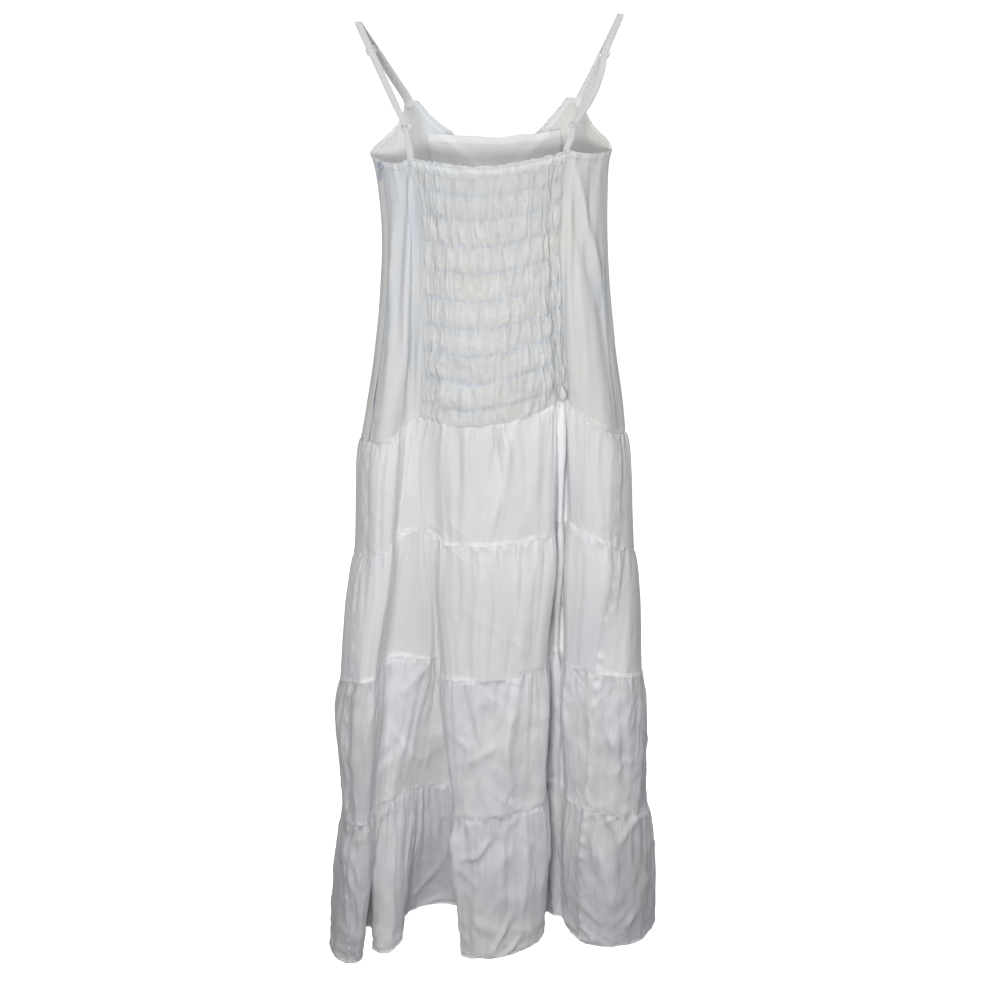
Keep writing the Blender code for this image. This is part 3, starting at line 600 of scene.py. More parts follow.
def pucker_sides(d, tone, a, down, tier, side):
    """Side seams that pucker alike on both sides, with short wrinkles that run out from them.  The
    allowance behind them shows as a whiter strip."""
    cut = TIERS[tier]
    ends = a - a[:, :1], a[:, -1:] - a
    near_left, near_right = ends if side == "back" else ends[::-1]
    for near, line in ((near_left, 31), (near_right, 32)):
        key = 100 * (tier + 1) + line
        pucker = cut["pucker"] * (1.3 * noise(down / 9.5, 0, key) + 0.7 * noise(down / 21, 0, key + 5)) + 0.8
        d = lead_into(d, pucker, near, 6)
        wrinkles = 1.6 * noise((down + near * 0.35) / 10, near / 60, key + 7) * np.exp(-near / 11)
        d += cut["pucker"] * wrinkles * (1 - bump(near, 6))
        white = cut["white"] * bump(near - 1.8, 2.2) * (0.6 + 1.1 * noise(down / 7, 0, key + 6))
        tone += white * (1.0 if side == "back" else 0.5) - 0.05 * bump(near, 1.0)
    return d, tone


def pressed_allowance(d, tone, a, up, seed):
    """Seam allowance pressed up behind the cloth above the seam: a whiter, finely puckered strip, added to
    d and tone in place.  Gives back the gathers that it draws into the cloth."""
    edge = 5.2 + 1.0 * noise(a / 9, 0, seed + 21)
    band = 1 - step(up, edge, 1.4)
    d += 0.30 * band + 0.25 * noise(a / 3.3, up / 9, seed + 22) * band
    seen = 0.70 + 0.45 * noise(a / 38, 0, seed + 25)
    tone += band * seen * (0.09 + 0.07 * noise(a / 3.6, up / 5, seed + 23))
    tone -= 0.03 * bump(up - edge - 1.0, 1.0)
    return 0.45 * np.exp(-up / 7)


def turned_hem(d, tone, a, up, seed):
    """Narrow turned hem: a doubled, slightly fluted strip below a stitched groove, added to d and tone in
    place.  Gives back the gathers that it draws into the cloth."""
    fold = 1 - step(up, 8.2, 0.8)
    d += 0.3 * fold + 0.6 * noise(a / 6.5, up / 14, seed + 20) * fold
    d -= 0.6 * bump(up - 8.4, 0.9)
    tone += fold * (0.13 + 0.06 * noise(a / 5, up / 5, seed + 28))
    tone += 0.10 * bump(up, 2.0) - 0.15 * bump(up - 9.3, 1.2)
    return 0.3 * np.exp(-up / 9)


def painted_tier_light_and_blotches(points, normals, a, down, tier, seed):
    """Painted light and shade in the colour of the thin cloth: painted light in the deep recess, as if light
    came through it, painted shade where the outer lobes of the two lower tiers turn away and grey, the
    painted light and shade of the whole tier, and random blotches of tone."""
    x = points[..., 0]
    faces_back = np.clip(0.3 - 1.5 * normals[..., 1], 0, 1)
    light = 0.23 * bump(x - RECESS_X, 13) * faces_back + TIERS[tier]["lighter"]
    if tier > 1:
        left = np.clip((LEFT_LOBE_X - x) / 40, 0, 1)
        right = np.clip((x - RIGHT_LOBE_X) / 60, 0, 1)
        light -= faces_back * (0.17 * left + 0.08 * right)
        light += 0.05 * noise(a / 33, down / 45, seed + 27) + 0.045 * noise(a / 9, down / 14, seed + 29)
    return light


def build_tier(loom, tier, side):
    """Half of one gathered tier, from side seam to side seam: the skirt's surface between two seam levels,
    moved out by gathers, folds, creases and puckers, with both seam lines shared with the neighbours."""
    first, last = ("side_left", "side_right") if side == "back" else ("side_right", "side_left")
    rows = 54
    s = np.linspace(0, 1, rows)
    s = s - 0.085 * np.sin(2 * math.pi * s)              # rows closer together at the two seams
    points, normals, columns = loom.patch(loom.skirt(tier, s), first, last)
    a = arc(points[rows // 2])[None, :] + 37.0 * tier
    height = (points[0, :, 2] - points[-1, :, 2])[None, :]
    down, up = s[:, None] * height, (1 - s)[:, None] * height
    seed = 100 * (tier + 1) + (0 if side == "back" else 50)
    cut = TIERS[tier]
    d, shade = tier_relief(a, down, cut, seed)
    creases = near_creases(points) * np.clip(0.2 - 1.6 * normals[..., 1], 0, 1)
    # painted shade in the valleys of the gathers, and painted light and shade that follow the creases and the
    # relief: lighter on ridges, darker in troughs
    tone = 1 - shade + 0.010 * creases + cut["shade"] * np.clip(d, -5, 5)
    d = (d + creases) * (1 - 0.55 * normals[..., 0] ** 2)     # calmer where the outline is seen
    d, tone = pucker_sides(d, tone, a, down, tier, side)
    for distance, level in ((down, tier), (up, tier + 1)):
        relief, lift = loom.seam(level, columns)
        d = lead_into(d, relief, distance, 4.0)
        points[..., 2] += lift * np.exp(-distance / 11)
    gather = 0.10 + 0.9 * np.exp(-down / 13) * (0.7 + 0.5 * noise(a / 15, 0, seed + 12))
    gather += 0.10 * np.exp(-down / 60)
    gather += (turned_hem if tier == HEM_TIER else pressed_allowance)(d, tone, a, up, seed)
    tone -= 0.05 * bump(down, 1.3) * (0.8 + 0.8 * noise(a / 7, 0, seed + 24))
    tone += 0.035 * bump(down - 3.2, 1.8) + 0.02 * noise(a / 2.6, down / 70, seed + 26)
    # painted light in the recess, painted shade on the outer lobes and over the whole tier, with random
    # blotches of tone
    tone += painted_tier_light_and_blotches(points, normals, a, down, tier, seed)
    blue = np.clip(cut["blue"] + 0.35 * noise(a / 70, down / 90, seed + 40), 0, 1)
    sew(f"cloth_tier_{tier + 1}_{side}", f"tier_{tier + 1}_{side}", points, normals, d,
        SKIRT_COTTON, tone, blue, np.clip(gather, 0, 1.4))


# ---- bodice -----------------------------------------------------------------------------------------
# rows of elastic, as shares of the panel's height
ELASTIC = (0.065, 0.163, 0.268, 0.375, 0.490, 0.602, 0.711, 0.822, 0.934)
BAND = 17.0                              # height of the casing
PANEL_LENGTH = 362.0
INSET_HEIGHT, INSET_BEHIND, INSET_HEM = 82.0, 1.9, 10.5
FRILL_ABOVE, FRILL_BELOW = 6.5, 9.0


def elastic_bands(share):
    """Number of the band between two rows of elastic at each share of the panel's height, and how far
    down that band the point lies, from 0 to 1."""
    edges = np.array((-0.012,) + ELASTIC + (1.03,))
    band = np.clip(np.searchsorted(edges, share.ravel()).reshape(share.shape) - 1, 0, len(edges) - 2)
    return band, (share - edges[band]) / (edges[band + 1] - edges[band])


def build_panel(loom):
    """Shirred back panel: bands of cloth puffed out between rows of elastic thread.  The puff is half a
    sine down each band; upright ridges, which lean a little, ride on it and are pinched in at the rows."""
    rows = 150
    q = np.linspace(0, 1, rows)[:, None]
    top = loom.top - BAND - SEAM_GAP
    heights = top + (loom.levels[0][:, 2] + SEAM_GAP / 2 - top) * q
    points, normals, columns = loom.patch(loom.bodice(heights), "panel_left", "panel_right")
    a = arc(points[rows // 2])[None, :]
    width = a[0, -1]
    waver = 0.0042 * noise(a / 24, 0, 70) + 0.0030 * noise(a / 9, 0, 71) + 0.0016 * noise(a / 3.1, 0, 69)
    share = q + waver
    band, part = elastic_bands(share)
    puff = np.clip(np.sin(math.pi * np.clip(part, 0, 1)), 0, 1)
    down = share * PANEL_LENGTH
    lean = 4.5 * noise(band * 3.7, a / 40, 72)
    b = a + lean * (part - 0.5) + 1.8 * noise(a / 13, down / 14, 73)
    ridges = ridged(b / 4.4 + band * 0.21, down / 40, 74, 0.75)
    small = ridged(b / 2.2, down / 22, 75, 0.7)
    swell = 0.75 + 0.7 * noise(b / 11, band * 1.7, 76)
    strong = 0.65 + 0.7 * np.clip(noise(a / 21, down / 37, 68) + 0.5, 0, 1.3)
    d = 2.3 * puff ** 0.6 * swell - 0.6
    d += ((1.85 * puff ** 0.45 + 0.35) * ridges + (0.40 + 0.6 * (1 - puff)) * small) * strong
    d += 0.5 * noise(a / 5, down / 6, 77)
    near = np.minimum(part, 1 - part)
    pinch = 0.7 + 0.6 * noise(a / 6, band * 2.3, 67)
    d -= 0.8 * bump(near, 0.040) * pinch
    d *= 0.2 + 0.8 * step(a, 2.0, 4.0) * (1 - step(a, width - 2.0, 4.0))     # flat at the two long seams
    up = points[..., 2] - points[-1:, :, 2]
    d = hip_join(loom, columns, points, d, up, 3.5)
    tone = 0.975 - 0.02 * bump(near, 0.05) * pinch
    # painted light and shade: lighter on the tops of the ridges, darker in the valleys between them
    tone += 0.085 * puff * np.clip(ridges, 0, 1) - 0.06 * np.clip(-ridges, 0, 1)
    tone += 0.035 * noise(a / 2.4, down / 11, 66) + 0.02 * noise(a / 18, down / 24, 65)
    # painted shade: darker towards the top of the panel
    tone -= 0.07 * np.clip(1 - down / 170, 0, 1)
    blue = 0.95 * bump(near, 0.075) * pinch + 0.12 * noise(a / 60, down / 60, 78)
    points[..., 2] += 1.1 * noise(a / 4.5, down / 13, 79) * np.minimum(1, np.minimum(q, 1 - q) * 40)
    sew("cloth_back_panel", "back_shirred_panel", points, normals, d,
        COTTON, tone, np.clip(blue, 0, 1), 0.3 + 0.5 * (1 - puff))


def build_band(loom):
    """Casing along the top of the panel, drawn up by elastic: upright ridges on half a sine, below a
    small frilled edge whose height waves."""
    rows = 24
    down = np.linspace(0, BAND, rows)[:, None]
    points, normals, _ = loom.patch(loom.bodice(loom.top - down), "panel_left", "panel_right")
    a = arc(points[rows // 2])[None, :]
    b = a + 1.6 * noise(a / 11, down / 9, 81)
    d = 1.25 * ridged(b / 3.6, down / 16, 82, 0.75) + 0.5 * noise(b / 2.1, down / 7, 83)
    d += 1.6 * np.sin(math.pi * np.clip((down - 4.5) / 11.0, 0, 1)) - 0.8 * bump(down - 4.2, 1.1)
    d -= 0.4 * bump(down - BAND, 1.6)
    points[..., 2] += (1.5 * noise(a / 4.2, 0, 84) + 0.9 * noise(a / 2.2, 0, 85)) * np.exp(-down / 3.0)
    tone = 1 + 0.04 * bump(down, 3.0) - 0.05 * bump(down - 4.2, 1.0)
    sew("cloth_back_band", "back_top_band", points, normals, d, COTTON, tone, 0.15, 0.5)


def bodice_patch(loom, first, last, rows, trim_first, trim_last):
    """Grid of a plain bodice piece from the top edge to the hip seam, its ends drawn in by the trims:
    points, normals, columns, and the distances along the cloth, down from the top and up from the hip."""
    q = np.linspace(0, 1, rows)
    q = q - 0.135 * np.sin(2 * math.pi * q)              # rows closer together at the edge and the seam
    heights = loom.top + (loom.levels[0][:, 2] + SEAM_GAP / 2 - loom.top) * q[:, None]
    points, normals, columns = loom.patch(loom.bodice(heights), first, last)
    trimmed = [trim_first + here * (here[-1] - trim_first - trim_last) / here[-1]
               for here in map(arc, points)]
    a = trimmed[rows // 2][None, :]
    for r, target in enumerate(trimmed):
        here = arc(points[r])
        points[r] = np.column_stack([np.interp(target, here, points[r, :, k]) for k in range(3)])
    from_top = points[0, :, 2][None, :] - points[..., 2]
    return points, normals, columns, a, from_top, from_top[-1][None, :] - from_top


def hip_join(loom, columns, points, d, up, reach=4.0):
    """Bring the lower edge of a bodice piece to the shared line of the hip seam."""
    relief, lift = loom.seam(0, columns)
    points[..., 2] += lift * np.exp(-up / 11)
    return lead_into(d, relief, up, reach)


def edge_finish(d, tone, from_top, a, seed, facing=8.5):
    """Turned top edge: a facing with a topstitched line below it, slightly wavy."""
    d = d + 0.35 * (1 - step(from_top, facing, 0.9)) - 0.6 * bump(from_top - facing, 0.8)
    d = d + 0.35 * noise(a / 6.0, from_top / 20, seed) * np.exp(-from_top / 10)
    tone = tone + 0.07 * (1 - step(from_top, facing, 0.8)) - 0.10 * bump(from_top - facing - 0.3, 0.9)
    return d, tone


def build_side(loom, side, first, last, seed):
    """Plain side back, with folds that hang from the strap.  On the left the zip pulls its seam into short
    wrinkles; the other long seams have an allowance pressed to one side and a fine groove."""
    zip_side = side == "left"
    points, normals, columns, a, from_top, up = bodice_patch(
        loom, first, last, 110, ZIP_HALF if zip_side else SEAM_GAP / 2, SEAM_GAP / 2)
    width = a[0, -1]
    d = near_creases(points)
    d += 1.9 * noise(a / 14 + from_top / 240, from_top / 130, seed) * np.minimum(from_top / 30, 1)
    d += 0.9 * noise(a / 7, from_top / 38, seed + 1)
    d += 0.6 * noise(a / 4.5, up / 30, seed + 2) * np.exp(-up / 9)
    tone = np.ones(d.shape)
    if zip_side:
        pull = np.exp(-a / 11) * step(from_top, 12, 20)
        d += 1.5 * pull * noise(from_top / 8.5 + a / 16, a / 30, seed + 3)
        slanted = noise((from_top + a * 1.3) / 17, a / 60, seed + 4)
        d += 1.3 * slanted * bump(from_top - 250, 70) * np.exp(-a / 26)
        tone -= 0.06 * bump(a, 2.2)
    else:
        d += 0.7 * np.exp(-(width - a) / 9) * noise(from_top / 10, 0, seed + 5)
    for edge in (a, width - a):
        d *= 1 - 0.8 * bump(edge, 4.0)
        tone -= 0.04 * bump(edge, 0.8) - 0.04 * bump(edge - 2.6, 1.6)
    d, tone = edge_finish(d, tone, from_top, a, seed + 6)
    d = hip_join(loom, columns, points, d, up)
    strip = 1 - step(up, 6.2, 1.2)
    d += 0.35 * strip
    # the whiter strip is the pressed allowance; the last term is painted light and shade that follow the
    # relief, lighter on ridges and darker in troughs
    tone += strip * (0.07 + 0.04 * noise(a / 4, up / 6, seed + 9)) + 0.010 * np.clip(d, -4, 4)
    blue = (0.34 if zip_side else 0.12) - 0.45 * step(from_top, 270, 160)
    blue = blue + 0.3 * noise(a / 40, from_top / 90, seed + 7)
    sew(f"cloth_side_{side}", f"side_back_{side}", points, normals, d, COTTON, tone, blue)


def build_front(loom):
    """Front bodice in one with the sides: two soft waves of relief between a turned edge and the hip."""
    points, normals, columns, a, from_top, up = bodice_patch(
        loom, "side_right", "side_left", 96, SEAM_GAP / 2, ZIP_HALF)
    d = 2.6 * noise(a / 34, from_top / 170, 401) * np.minimum(from_top / 40, 1)
    d += 1.1 * noise(a / 12, from_top / 60, 402) * np.minimum(from_top / 20, 1)
    d += 0.5 * noise(a / 4.5, up / 30, 403) * np.exp(-up / 9)
    d += 1.0 * noise(from_top / 9, 0, 404) * np.exp(-(a[0, -1] - a) / 9) * step(from_top, 12, 20)
    d, tone = edge_finish(d, 1.0, from_top, a, 405, 7.5)
    d = hip_join(loom, columns, points, d, up)
    strip = 1 - step(up, 6.0, 1.0)
    blue = -0.1 + 0.25 * noise(a / 60, from_top / 90, 406)
    sew("cloth_front", "front_panel", points, normals, d + 0.35 * strip, COTTON, tone + 0.07 * strip, blue)


def build_inset(loom):
    """Straight-topped inset behind the V, with a stitched hem; the cloth that it overlaps shows as a
    lighter, doubled band along the V."""
    rows = 44
    columns = loom.columns("front_dip_1", "front_6")
    top = np.full(loom.total, -160.0)
    top[columns] = np.interp(np.linspace(0, 1, len(columns)), [0, 0.5, 1], [-154.0, -166.0, -160.0])
    drop = np.linspace(0, INSET_HEIGHT, rows)[:, None]
    points, normals, _ = loom.patch(loom.bodice(top - drop), "front_dip_1", "front_6")
    points = points - normals * INSET_BEHIND
    a = arc(points[0])[None, :]
    d = 1.5 * noise(a / 17, drop / 60, 421) * np.minimum(drop / 12, 1) + 0.5 * noise(a / 7, drop / 22, 422)
    d += 1.1 * noise((drop + 0.5 * a) / 13, a / 60, 424) * np.minimum(drop / 14, 1)
    below_v = loom.top[columns][None, :] - points[..., 2]
    doubled = step(below_v, 0.0, 1.5) * (1 - step(below_v, 14.0, 2.0))
    d -= 0.5 * bump(drop - INSET_HEM, 0.8) + 0.35 * doubled
    tone = 1.0 + 0.09 * doubled + 0.06 * (1 - step(drop, INSET_HEM, 1.0))
    tone -= 0.09 * bump(drop - INSET_HEM - 0.3, 0.8) + 0.07 * bump(below_v - 15.0, 1.0)
    points[..., 2] += 0.5 * noise(a / 16, 0, 423) * np.exp(-drop / 6)
    sew("cloth_inset", "front_inset", points, normals, d, COTTON, tone, -0.15, thickness=0.45)


def build_frill(loom, node, first, last, seed):
    """Narrow gathered frill on the outside of the V; its free edge waves in and out and sinks at its ends."""
    down = np.linspace(FRILL_ABOVE, -FRILL_BELOW, 12)[:, None]
    points, normals, _ = loom.patch(loom.bodice(loom.top + down), first, last)
    a = arc(points[0])[None, :]
    free = np.clip((down + 3.0) / 9.5, 0, 1)
    wave = noise(a / 3.4, 0, seed) * 2.1 + noise(a / 1.9, 0, seed + 1) * 0.7
    d = 1.7 + wave * free + 0.5 * noise(a / 2.6, 0, seed + 2) * (1 - free)
    inside = np.clip(np.minimum(a, a[:, -1:] - a) / 14, 0, 1) ** 0.7
    points[..., 2] += (1.6 * noise(a / 4.0, 0, seed + 3) - 8.5 * (1 - inside)) * free
    sew("cloth_" + node, node, points, normals, d, COTTON, 1.03, 0.1, thickness=0.4)


# ---- zip --------------------------------------------------------------------------------------------
TAPE_HALF, COIL_HALF, COIL_PITCH = 2.5, 2.0, 2.3


def build_zip(loom):
    """Zip chain down the left side seam: two rows of small interlocking coils, as sines half a turn
    apart, on a narrow tape, with a flat bottom stop."""
    rows, lanes = 640, 9
    top, bottom = loom.top[0] - 0.5, loom.levels[0][0, 2] + 0.6
    down = np.linspace(0, top - bottom, rows)[:, None]
    rings = loom.bodice(np.broadcast_to(top - down, (rows, loom.total)))
    line, normal = rings[:, :1], plan_normals(rings)[:, :1]
    along = np.stack([-normal[..., 1], normal[..., 0], 0 * normal[..., 0]], -1)
    across = np.linspace(-TAPE_HALF, TAPE_HALF, lanes)[None, :]
    coil = 0.5 + 0.5 * np.sin(2 * math.pi * down / COIL_PITCH + np.where(across > 0, math.pi, 0.0))
    body = np.clip(1 - (np.abs(across) / COIL_HALF) ** 4, 0, 1)
    stop = step(down, (top - bottom) * 0.93, 1.0)
    d = 0.2 + body * (0.25 + 0.75 * coil) * (1 - stop) + 0.5 * stop * (1 - (across / 2.6) ** 2)
    d -= 0.6 * bump(across, 0.25) * (1 - stop)
    points = line + along * across[..., None] + normal * (d - 0.9)[..., None]
    obj = mesh_object("zip_coils", points, grid_faces(rows, lanes), ZIP_TAPE, cloth_uv(across, down),
                      1 - 0.12 * coil * (1 - stop))
    cover(obj, "zip_chain")


# ---- straps, rings and sliders ----------------------------------------------------------------------
STRAP_WIDTH, STRAP_THICK, STUB_THICK = 9.0, 1.2, 1.0
PINCHED = 6.0                            # width of the ribbon where it goes through the ring
RING_RADIUS, RING_WIRE = 6.2, 1.0
WIRE_SEAT, FOLD_ROOM = 0.45, 1.4         # where the ribbon sits in the ring, and its room round the wire
TIP_RADIUS, TURN_POINTS = 4.0, 7
SLIDER_HALF, BAR = 5.2, 1.5
RISE = np.array([0.0, 0.0, 2.0])         # how far a ribbon stands straight up from its seam
STRAPS = {
    "left": dict(tip=(-171, 0, -6), ring=(-109, -37, -139), slider=(-156, -10, -43), front=-110, foot=-104,
                 bulge=(0.0, 0.0, 0.0), flare=(11.0, 13.0, 12.5, 11.0), seed=500),
    "right": dict(tip=(171, 0, 4), ring=(112, -36, -136), slider=(151, -12, -45), front=121, foot=102,
                  bulge=(7.0, -4.0, 0.0), flare=(9.5, 10.0, 8.5, 8.0), seed=510),
}


def unit(v):
    """The vector at length one."""
    v = np.asarray(v, float)
    return v / np.linalg.norm(v)


def upright(v, axis):
    """Unit vector of the part of v that stands square to the axis."""
    return unit(v - np.dot(v, axis) * axis)


def ribbon(name, node, path, width, thickness, seed, lightness=1.0):
    """Soft flat ribbon: a rounded section swept along the path, with a stitched groove near both edges
    and a fine ripple.  Widths and lightness are given at the points of the path."""
    line = smooth_path(path)
    at, knots = np.linspace(0, len(path) - 1, len(line)), np.arange(len(path))
    tangent = np.gradient(line, axis=0)
    tangent /= np.linalg.norm(tangent, axis=1)[:, None]
    facing = np.array([1.0, 0.0, 0.0])
    side = facing - (tangent @ facing)[:, None] * tangent
    side /= np.linalg.norm(side, axis=1)[:, None]
    face = np.cross(tangent, side)
    lane = np.cos(math.pi * np.linspace(0, 1, 13))         # +1 .. -1 across the ribbon, closer at its edges
    rim = np.sqrt(np.clip(1 - lane**8, 0, 1)) * (1 - 0.22 * bump(np.abs(lane) - 0.72, 0.10))
    upper = np.stack([lane, rim], -1)
    loop = np.vstack([upper, (upper * [1, -1])[::-1][1:-1]])
    across, height = loop[None, :, 0], loop[None, :, 1]
    a = arc(line)[:, None]
    ripple = 0.18 * noise(a / 3.0, across * 1.5, seed) * (np.abs(height) > 0.3)
    half = np.interp(at, knots, width)[:, None] / 2
    points = (line[:, None] + side[:, None] * (across * half)[..., None]
              + face[:, None] * (height * thickness / 2 + ripple)[..., None])
    light = np.interp(at, knots, np.broadcast_to(lightness, len(path)))[:, None]
    tone = (1 - 0.08 * bump(np.abs(across) - 0.72, 0.1)) * light
    obj = mesh_object(name, points, grid_faces(*points.shape[:2], wrap=True), STRAP_COTTON,
                      cloth_uv(across * STRAP_WIDTH / 2, -a), tone)
    edit(obj.data, close_ends)
    cover(obj, node)


def seat_on_rim(loom, x, front, thickness):
    """Middle of the top rim under a strap at this x, and its highest point there."""
    ring = loom.bodice(loom.top[None, :])[0]
    near = ring[(np.abs(ring[:, 0] - x) < STRAP_WIDTH / 2) & ((ring[:, 1] > 0) == front)]
    middle = near[np.argmin(np.abs(near[:, 0] - x))]
    return np.array([x, middle[1] + (-thickness if front else thickness) / 2, near[:, 2].max()])


def turn(centre, start, across, radius):
    """Half a circle round the centre, from the side of start through the side of across."""
    t = np.linspace(0, math.pi, TURN_POINTS)[:, None]
    return list(centre + radius * (np.cos(t) * start + np.sin(t) * across))


def strap_path(loom, data, ring, down, face):
    """Middle line of a strap: from its seam in the front corner up over the tip, down past the slider,
    round the ring's wire and back up to the slider.  Also the slider's middle and its way."""
    tip, slider, bulge = (np.array(data[k], float) for k in ("tip", "slider", "bulge"))
    bend = RING_WIRE + FOLD_ROOM + STRAP_THICK / 2
    wire = ring - down * (RING_RADIUS - WIRE_SEAT)
    foot = seat_on_rim(loom, data["front"], True, SINGLE_WALL)
    t = np.radians(np.linspace(165, 25, 7))
    over = list(tip + TIP_RADIUS * np.stack([0 * t, -np.cos(t), np.sin(t) - 1], -1))
    low = wire + face * bend
    run = low - over[-1]
    at_slider = over[-1] + run * (np.dot(slider - over[-1], run) / np.dot(run, run))
    frame_at = at_slider - face * (STRAP_THICK / 2 + SEAM_GAP + BAR / 2)
    back = wire - face * bend
    end = frame_at + unit(run) * (SLIDER_HALF + 0.4) - face * 0.6
    path = [foot + (0.0, -1.0, -9.0)]                      # sewn down inside the front's top corner
    path += [foot + RISE + (over[0] - foot - RISE) * t for t in (0, 0.33, 0.66)]
    path += over + [at_slider]
    path += [at_slider + (low - at_slider) * t + (bulge + face * 0.8) * math.sin(math.pi * t)
             for t in (0.25, 0.5, 0.75)]
    start = len(path)
    path += turn(wire, face, down, bend)
    path += [back + (end - back) * t for t in (0.35, 0.7, 1.0)]
    return path, start, frame_at, unit(run)


def stub_path(loom, data, ring, face):
    """Middle line of the short end: from its seam on the back up round the ring's wire and down again."""
    bend = RING_WIRE + FOLD_ROOM + STRAP_THICK / 2
    foot = seat_on_rim(loom, data["foot"], False, SHIRRED_WALL)
    to_foot = upright(foot + (0, 0, 3.0) - ring, face)
    wire = ring + to_foot * (RING_RADIUS - WIRE_SEAT)
    across = upright(face, to_foot)
    legs = [[leg + (0, 0, -5.0), leg + RISE, leg * 0.5 + (wire + way * bend) * 0.5]
            for way in (across, -across) for leg in (foot + way * 0.75,)]
    return legs[0] + turn(wire, across, -to_foot, bend) + legs[1][::-1]


def build_strap(loom, side, data):
    """Strap, its short end, the ring that joins them and the slider."""
    ring = np.array(data["ring"], float)
    down = unit(ring - data["tip"])
    face = unit(np.cross(down, upright((1.0, 0.0, 0.0), down)))
    face = face if face[1] < 0 else -face
    path, start, frame_at, way = strap_path(loom, data, ring, down, face)
    width = np.full(len(path), STRAP_WIDTH)
    width[:len(data["flare"])] = data["flare"]             # the front end widens into its seam
    width[start:start + TURN_POINTS] = PINCHED
    lightness = np.where(np.arange(len(path)) < 8, 1.28, 1.0)     # painted light: the front strand is painted lighter, as if light came through it
    ribbon(f"ribbon_{side}", f"strap_{side}", path, width, STRAP_THICK, data["seed"], lightness)
    path = stub_path(loom, data, ring, face)
    width = np.full(len(path), STRAP_WIDTH - 0.4)
    width[3:3 + TURN_POINTS] = PINCHED
    ribbon(f"stub_{side}", f"strap_stub_{side}", path, width, STUB_THICK, data["seed"] + 20)
    build_ring(side, ring, down, face)
    build_slider(side, frame_at, face, way)


def rod(path, out, up, half_width, half_height, count):
    """Grid of an oval rod: an ellipse swept along the path, half_width towards `out`, half_height `up`."""
    t = np.linspace(0, 2 * math.pi, count, endpoint=False)[None, :, None]
    return path[:, None] + out[:, None] * half_width * np.cos(t) + up * half_height * np.sin(t)


def build_ring(side, centre, down, face):
    """Clear ring: a circle swept round a circle whose axis is `face`."""
    rows, count = 64, 16
    t = np.linspace(0, 2 * math.pi, rows, endpoint=False)[:, None]
    radial = np.cos(t) * down + np.sin(t) * np.cross(down, face)
    points = rod(centre + radial * RING_RADIUS, radial, face, RING_WIRE, RING_WIRE, count)
    faces = np.roll(grid_faces(rows, count, wrap=True, ring=True)[:, ::-1], 1, 1)
    cover(mesh_object(f"clear_ring_{side}", points, faces, CLEAR), f"ring_{side}")


def build_slider(side, centre, face, down):
    """Clear figure-of-eight slider: a rounded frame with a middle bar, each an oval rod."""
    face = upright(face, down)
    plane = np.stack([np.cross(face, down), down])
    half = np.array([STRAP_WIDTH / 2 + 2.2, SLIDER_HALF]) - BAR / 2
    radius, count = 1.6, 10
    corners = []
    for quarter, way in enumerate(((1, 1), (-1, 1), (-1, -1), (1, -1))):
        t = math.pi * np.linspace(quarter / 2, quarter / 2 + 0.5, 6)
        corners.append((half - radius) * way + radius * np.stack([np.cos(t), np.sin(t)], -1))
    outline = np.vstack(corners)
    middle = np.array([-1.0, -0.5, 0.5, 1.0])[:, None] * [half[0], 0.0]
    points, faces, base = [], [], 0
    for path, closed in ((outline, True), (middle, False)):
        tangent = (np.roll(path, -1, 0) - np.roll(path, 1, 0)) if closed else np.gradient(path, axis=0)
        tangent /= np.linalg.norm(tangent, axis=1)[:, None]
        out = np.stack([tangent[:, 1], -tangent[:, 0]], -1)
        points.append(rod(centre + path @ plane, out @ plane, face, 0.75, 0.72, count).reshape(-1, 3))
        faces.append(grid_faces(len(path), count, wrap=True, ring=closed) + base)
        base += len(points[-1])
    obj = mesh_object(f"clear_slider_{side}", np.vstack(points), np.vstack(faces), CLEAR)
    edit(obj.data, close_ends)
    cover(obj, f"strap_slider_{side}")


# ---- build ------------------------------------------------------------------------------------------
SKIRT = Loom(2.4, 5.0)
BODICE = Loom(3.2, 7.0)
PANEL = Loom(2.3, 20.0)
for tier_number in range(len(TIERS)):
    build_tier(SKIRT, tier_number, "back")
    build_tier(SKIRT, tier_number, "front")
build_panel(PANEL)
build_band(PANEL)
build_side(BODICE, "left", "side_left", "panel_left", 300)
build_side(BODICE, "right", "panel_right", "side_right", 320)
build_front(BODICE)
build_inset(BODICE)
build_frill(BODICE, "frill_right", "neck_right", "front_dip_2", 440)
build_frill(BODICE, "frill_left", "front_dip_2", "neck_left", 450)
build_zip(BODICE)
for strap_side, strap_data in STRAPS.items():
    build_strap(BODICE, strap_side, strap_data)
for zip_part in ("zip_slider", "zip_pull"):
    materials = bpy.data.objects[zip_part].data.materials
    materials.clear()
    materials.append(ZIP)


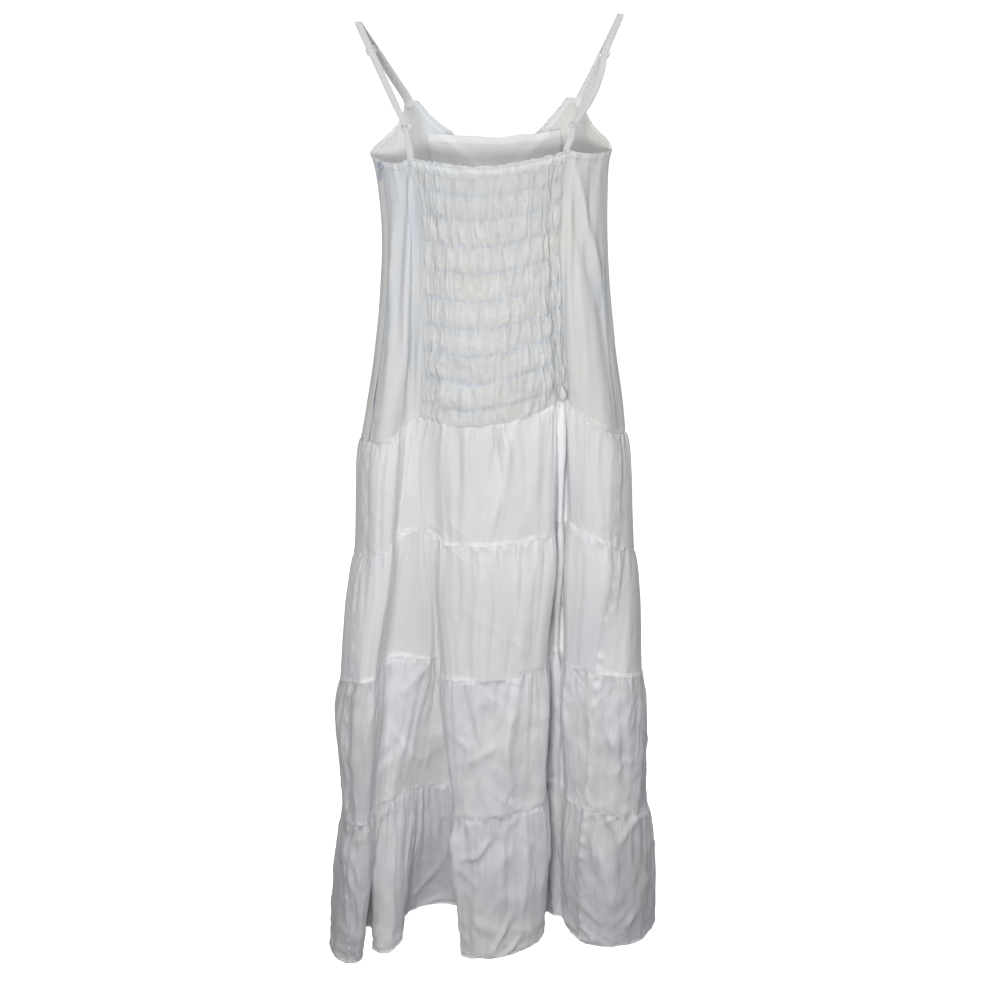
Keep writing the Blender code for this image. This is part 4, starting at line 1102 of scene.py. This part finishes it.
# ---- stage, lights and camera -----------------------------------------------------------------------
FLOOR_Z, COVE, WALL_Y, WALL_TOP = -1600.0, 1200.0, 4400.0, 4500.0
NEAR_Y, STAGE_HALF = -6000.0, 7000.0
LIGHTS = (
    # name, place, what it aims at, size, power, colour, spread in degrees
    ("key", (-0.20, -1.40, -0.22), (0.03, 0.0, -0.66), (0.36, 0.30), 12.4, (1.0, 0.995, 0.98), 180),
    ("top", (0.1, -0.30, 1.3), (0.0, 0.05, -0.3), (1.2, 0.9), 12, (1.0, 1.0, 0.99), 180),
    ("cool_left", (-2.2, -0.6, -0.1), (0.0, 0.0, -0.4), (0.8, 1.2), 1.2, (0.86, 0.92, 1.0), 180),
    ("right", (1.5, -1.3, -0.3), (0.0, 0.0, -0.7), (0.6, 0.8), 3.2, (1.0, 0.985, 0.985), 180),
    ("neck", (0.75, -1.75, 0.85), (0.0, 0.03, -0.07), (0.25, 0.25), 0.05, (1.0, 0.99, 0.97), 26),
    ("inside", (0.0, -0.028, -0.285), (0.0, 0.05, -0.20), (0.17, 0.02), 0.072, (1.0, 0.98, 0.95), 180),
    ("front", (0.9, 2.2, 0.4), (0.0, 0.0, -0.6), (1.4, 1.4), 26, (1.0, 1.0, 1.0), 180),
)
CAMERA_TILT, CAMERA_DISTANCE = math.radians(20), 2.9
LOOK_AT = (0.014, 0.0, -0.672)
LENS, SENSOR = 73.5, 36.0


def backdrop():
    """Pale floor that curves up through a quarter circle into a wall well behind the dress."""
    t = np.linspace(0.1, math.pi / 2, 10)
    curve = np.stack([WALL_Y - COVE + COVE * np.sin(t), FLOOR_Z + COVE - COVE * np.cos(t)], -1)
    profile = np.vstack([[NEAR_Y, FLOOR_Z], [WALL_Y - COVE, FLOOR_Z], curve, [WALL_Y, WALL_TOP]])
    xs = np.linspace(-STAGE_HALF, STAGE_HALF, 9)
    points = np.stack(np.broadcast_arrays(xs[None, :], profile[:, :1], profile[:, 1:]), -1)
    material = plain("backdrop", (0.93, 0.93, 0.93), 1.0, Specular_IOR_Level=0.0,
                     Emission_Color=(1, 1, 1, 1), Emission_Strength=0.9)
    obj = mesh_object("backdrop", points, grid_faces(len(profile), len(xs))[:, ::-1], material)
    obj.visible_diffuse = obj.visible_glossy = obj.visible_transmission = False


def area_light(name, place, aim, size, power, colour, spread):
    """Rectangular lamp at a place, turned to what it aims at, and not seen itself."""
    lamp = bpy.data.lights.new(name, "AREA")
    lamp.shape, lamp.energy, lamp.color = "RECTANGLE", power, colour
    lamp.size, lamp.size_y = size
    lamp.spread = math.radians(spread)
    obj = bpy.data.objects.new(name, lamp)
    obj.visible_camera = False
    obj.location = place
    obj.rotation_euler = (Vector(aim) - Vector(place)).to_track_quat("-Z", "Y").to_euler()
    bpy.context.scene.collection.objects.link(obj)


backdrop()
for light in LIGHTS:
    area_light(*light)
scene = bpy.context.scene
scene.world = bpy.data.worlds.new("soft_room")
scene.world.use_nodes = True
room = scene.world.node_tree.nodes["Background"].inputs
room["Color"].default_value = (0.98, 0.98, 1.0, 1)
room["Strength"].default_value = 0.27

camera = bpy.data.objects.new("camera", bpy.data.cameras.new("camera"))
camera.data.lens, camera.data.sensor_width = LENS, SENSOR
camera.data.clip_end = 50.0
away = CAMERA_DISTANCE * np.array([0.0, -math.cos(CAMERA_TILT), math.sin(CAMERA_TILT)])
camera.location = LOOK_AT + away
camera.rotation_euler = (math.radians(90) - CAMERA_TILT, 0, 0)
scene.collection.objects.link(camera)
scene.camera = camera
view = scene.view_settings
view.view_transform, view.look, view.exposure, view.gamma = "Standard", "None", 0.0, 1.0
